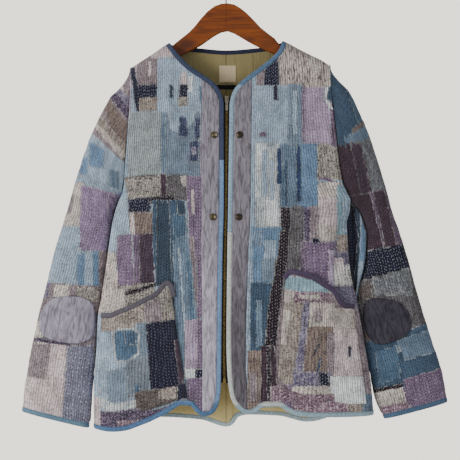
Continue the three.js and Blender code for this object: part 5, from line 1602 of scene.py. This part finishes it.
class JACKET_OT_bindings(bpy.types.Operator):
    """Bias bindings of the neck, the front edges and the hems"""

    bl_idname = "jacket.bindings"
    bl_label = "Bindings"

    def execute(self, context):
        for side, stops in (("right", RIGHT_BINDING), ("left", LEFT_BINDING)):
            points, normals, neck = front_grid(side)
            path = [(-1, j) for j in range(neck, 0, -1)]
            path += [(i, 0) for i in range(points.shape[0] - 1, 0, -1)]
            path += [(0, j) for j in range(points.shape[1])]
            rows, columns = np.array(path).T
            stations = edge_stations(points[rows, columns], normals[rows, columns], SIGN[side])
            piece, length = bar_object(f"front_binding_{side}_cloth", stations, *BINDING_BAR)
            dress(piece, "binding", by_height(piece, stops))
            join_piece(piece, [f"front_binding_{side}"])
        points, normals = back_grid(*BACK_GRID)
        neck_start = BACK_GRID[1] // 2
        neck_path = slice(neck_start, neck_start + BACK_GRID[0] + 1)
        for node, row, columns, turn, colour, slot in (
            ("back_neck_binding", -1, neck_path, 1, "#252b45", "binding_dark"),
            ("back_hem_binding", 0, slice(None), -1, "#a4bac7", "binding_light"),
        ):
            stations = edge_stations(points[row, columns], normals[row, columns], turn)
            piece, length = bar_object(f"{node}_cloth", stations, *BINDING_BAR)
            dress(piece, "binding", colour)
            join_piece(piece, [node])
        return {"FINISHED"}


# The slate ground and ink strip by the front are painted shade of the hollow beside the left front; the
# sky and blue cloths are the lit outer fold
GUSSET_PATCHES = [
    ("slate", 300, 150, 420, 330),
    ("ink", (346, 196), (354, 204), (360, 236), (354, 300), (340, 300)),
    ("sky", (352, 196), (360, 206), (362, 240), (357, 300), (380, 300), (380, 196)),
    ("blue", (362, 222), (370, 222), (368, 262), (360, 262)),
]


class JACKET_OT_gusset(bpy.types.Operator):
    """Light cloth that folds out beside the left front, with painted shade in dark cloth on its inner
    part
    """

    bl_idname = "jacket.gusset"
    bl_label = "Gusset"

    def execute(self, context):
        seed = 113
        s, z = np.meshgrid(np.linspace(0, 1, 22), np.linspace(-576, -424, 64))
        start = along(BODY_SIDES, "z", "left", z) + 0.5
        end = back_reach("left", z) - 1.6
        y = along(GUSSET_PROFILE, "s", "y", s) - WALL / 2
        points = np.stack([start + (end - start) * s, y, z], axis=-1)
        normals = grid_normals(points, forwards(points))
        wave = 0.4 * soft_noise(points[..., 0], z, 6.0, seed) * edge_fade(s.shape, 3)
        shown = points + normals * wave[..., None]
        piece = patched_sheet("gusset_left", shown, normals, cloth_uv(s * 40, z), GUSSET_PATCHES, seed,
                              wall=WALL - 0.4)
        return {"FINISHED"}


def zip_x(z):
    return (along(FRONT_EDGES, "z", "right", z) + along(FRONT_EDGES, "z", "left", z)) / 2


def zip_y(z):
    return front_y("right", np.zeros(np.shape(z)), z)


class JACKET_OT_zip(bpy.types.Operator):
    """Closed brass zip on black tapes"""

    bl_idname = "jacket.zip"
    bl_label = "Zip"

    def execute(self, context):
        for side in SIDES:
            share, z = np.meshgrid(np.linspace(0, 1, 8), np.linspace(TAPE_BOTTOM, TAPE_TOP, 110))
            near = zip_x(z) + SIGN[side] * 0.2
            x = near + SIGN[side] * (TAPE_WIDTH - 0.2) * share
            y = zip_y(z) + TAPE_BEHIND + 0.12 * soft_noise(z, share * 8, 9.0, 121) * share
            points = np.stack([x, y, z], axis=-1)
            piece = grid_object(f"zip_tape_{side}_cloth", points, forwards(points), points[..., [0, 2]])
            dress(piece, "tape")
            give_wall(piece, 0.8)
            join_piece(piece, [f"zip_tape_{side}"])
        self.teeth()
        for node, material in (("zip_slider", "pull"), ("zip_pull", "pull"), ("zip_box", "brass")):
            paint_node(node, material)
        return {"FINISHED"}

    def teeth(self):
        """Brass teeth on each tape, each between two of the other tape."""
        build = bmesh.new()
        low, high = TAPE_BOTTOM + TEETH_ABOVE_BOTTOM, TAPE_TOP - TEETH_BELOW_TOP
        size = Matrix.Diagonal((*(measure * MM for measure in TOOTH_SIZE), 1.0))
        for k in range(2 * int((high - low) / TOOTH_PITCH)):
            z = low + k * TOOTH_PITCH / 2
            side = 1 if k % 2 else -1
            centre = Vector((float(zip_x(z)) + side * 0.9, float(zip_y(z)) + TAPE_BEHIND - 0.75, z)) * MM
            bmesh.ops.create_cube(build, size=1.0, matrix=Matrix.Translation(centre) @ size)
        bmesh.ops.bevel(build, geom=build.edges[:], offset=0.2 * MM, segments=1, profile=0.5,
                        affect="EDGES", material=-1)
        piece = link("zip_teeth", build)
        dress(piece, "brass")
        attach(piece, "jacket")


def paint_node(node, material):
    """A CAD node whose shape is right keeps it and gets its finish."""
    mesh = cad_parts[node].data
    mesh.materials.clear()
    mesh.materials.append(MATERIALS[material])


class JACKET_OT_snaps(bpy.types.Operator):
    """Press snaps: ring sockets on the right, domed caps on the left"""

    bl_idname = "jacket.snaps"
    bl_label = "Snaps"

    def execute(self, context):
        for node, x, z, socket in SNAPS:
            side = "right" if x < 0 else "left"
            build = bmesh.new()
            profile = SNAP_RING if socket else SNAP_DOME
            verts = [build.verts.new((r * MM, 0, h * MM)) for r, h in profile]
            edges = [build.edges.new(pair) for pair in zip(verts, verts[1:])]
            bmesh.ops.spin(build, geom=verts + edges, axis=(0, 0, 1), cent=(0, 0, 0),
                           angle=2 * math.pi, steps=40, use_merge=True)
            bmesh.ops.remove_doubles(build, verts=build.verts, dist=2e-5)
            fill_holes(build)
            bmesh.ops.recalc_face_normals(build, faces=build.faces)
            face = Vector(front_normal(side, np.array(x), np.array(z)).tolist())
            place = on_front(side, np.array(float(x)), np.array(float(z)), SNAP_CLEAR)
            place = Vector(place.tolist()) * MM
            turn = Vector((0, 0, 1)).rotation_difference(face).to_matrix().to_4x4()
            bmesh.ops.transform(build, matrix=Matrix.Translation(place) @ turn, verts=build.verts)
            piece = link(f"{node}_metal", build)
            dress(piece, "socket" if socket else "cap")
            shade_smooth(piece)
            join_piece(piece, [node])
        return {"FINISHED"}


class JACKET_OT_hanger(bpy.types.Operator):
    """Wooden hanger and its hook"""

    bl_idname = "jacket.hanger"
    bl_label = "Hanger"

    def execute(self, context):
        paint_node("hanger", "wood")
        paint_node("hanger_hook", "steel")
        return {"FINISHED"}


class JACKET_OT_stage(bpy.types.Operator):
    """Pale floor, soft light and the camera"""

    bl_idname = "jacket.stage"
    bl_label = "Stage"

    def execute(self, context):
        build = bmesh.new()
        bmesh.ops.create_circle(build, cap_ends=True, segments=96, radius=1.5)
        bmesh.ops.translate(build, vec=(0, 0, FLOOR_Z), verts=build.verts)
        material, tree, place = new_material("pale_floor")
        tone = spread(tree, noise(tree, place, 3.0, 2.0), 0.96, 1.0)
        finish_material(tree, lit(tree, linear("#d9d5ce")[:3], tone), None, 0.8)
        floor = link("floor", build)
        floor.data.materials.append(material)

        world = bpy.data.worlds.new("studio")
        context.scene.world = world
        world.use_nodes = True
        tree = world.node_tree
        tree.nodes.clear()
        # The backdrop that is seen is brighter than the soft light that it gives
        sky = add(tree, "Background", {"Color": linear("#e6e2dc"), "Strength": 0.66})
        seen = add(tree, "Background", {"Color": linear("#ece6dc"), "Strength": 2.4})
        straight = add(tree, "LightPath")
        both = add(tree, "MixShader", {0: straight, 1: sky, 2: seen})
        add(tree, "OutputWorld", {"Surface": both})

        middle = Vector(PICTURE_MIDDLE)
        for name, place, size, power, colour in LAMPS:
            lamp = bpy.data.lights.new(name, "AREA")
            lamp.size = size
            lamp.energy = power
            lamp.color = linear(colour)[:3]
            holder = bpy.data.objects.new(name, lamp)
            holder.location = place
            holder.rotation_euler = (middle - Vector(place)).to_track_quat("-Z", "Y").to_euler()
            context.scene.collection.objects.link(holder)

        distance = context.scene.jacket.camera_distance
        view = bpy.data.cameras.new("camera")
        view.lens = view.sensor_width * distance / (PICTURE_PIXELS * PIXEL_MM * MM)
        camera = bpy.data.objects.new("camera", view)
        camera.location = middle + Vector((0, -distance, 0))
        camera.rotation_euler = Euler((math.pi / 2, 0, 0))
        context.scene.collection.objects.link(camera)
        context.scene.camera = camera
        return {"FINISHED"}


class JACKET_PT_parts(bpy.types.Panel):
    """Lists the pieces of the jacket"""

    bl_idname = "JACKET_PT_parts"
    bl_label = "Patched jacket"
    bl_space_type = "VIEW_3D"
    bl_region_type = "UI"
    bl_category = "Jacket"

    def draw(self, context):
        settings = context.scene.jacket
        for name in JacketSettings.__annotations__:
            self.layout.prop(settings, name)
        for operator in OPERATORS:
            self.layout.operator(operator.bl_idname)


OPERATORS = (
    JACKET_OT_stage, JACKET_OT_fronts, JACKET_OT_back, JACKET_OT_lining, JACKET_OT_sleeves,
    JACKET_OT_elbows, JACKET_OT_pockets, JACKET_OT_plackets, JACKET_OT_bindings, JACKET_OT_gusset,
    JACKET_OT_zip, JACKET_OT_snaps, JACKET_OT_hanger,
)
CLASSES = (JacketSettings, *OPERATORS, JACKET_PT_parts)


def register():
    for item in CLASSES:
        bpy.utils.register_class(item)
    bpy.types.Scene.jacket = PointerProperty(type=JacketSettings)


def unregister():
    del bpy.types.Scene.jacket
    for item in reversed(CLASSES):
        bpy.utils.unregister_class(item)


def main():
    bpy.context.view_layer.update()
    register()
    make_materials()
    for operator in OPERATORS:
        group, name = operator.bl_idname.split(".")
        getattr(getattr(bpy.ops, group), name)()


if __name__ == "__main__":
    main()
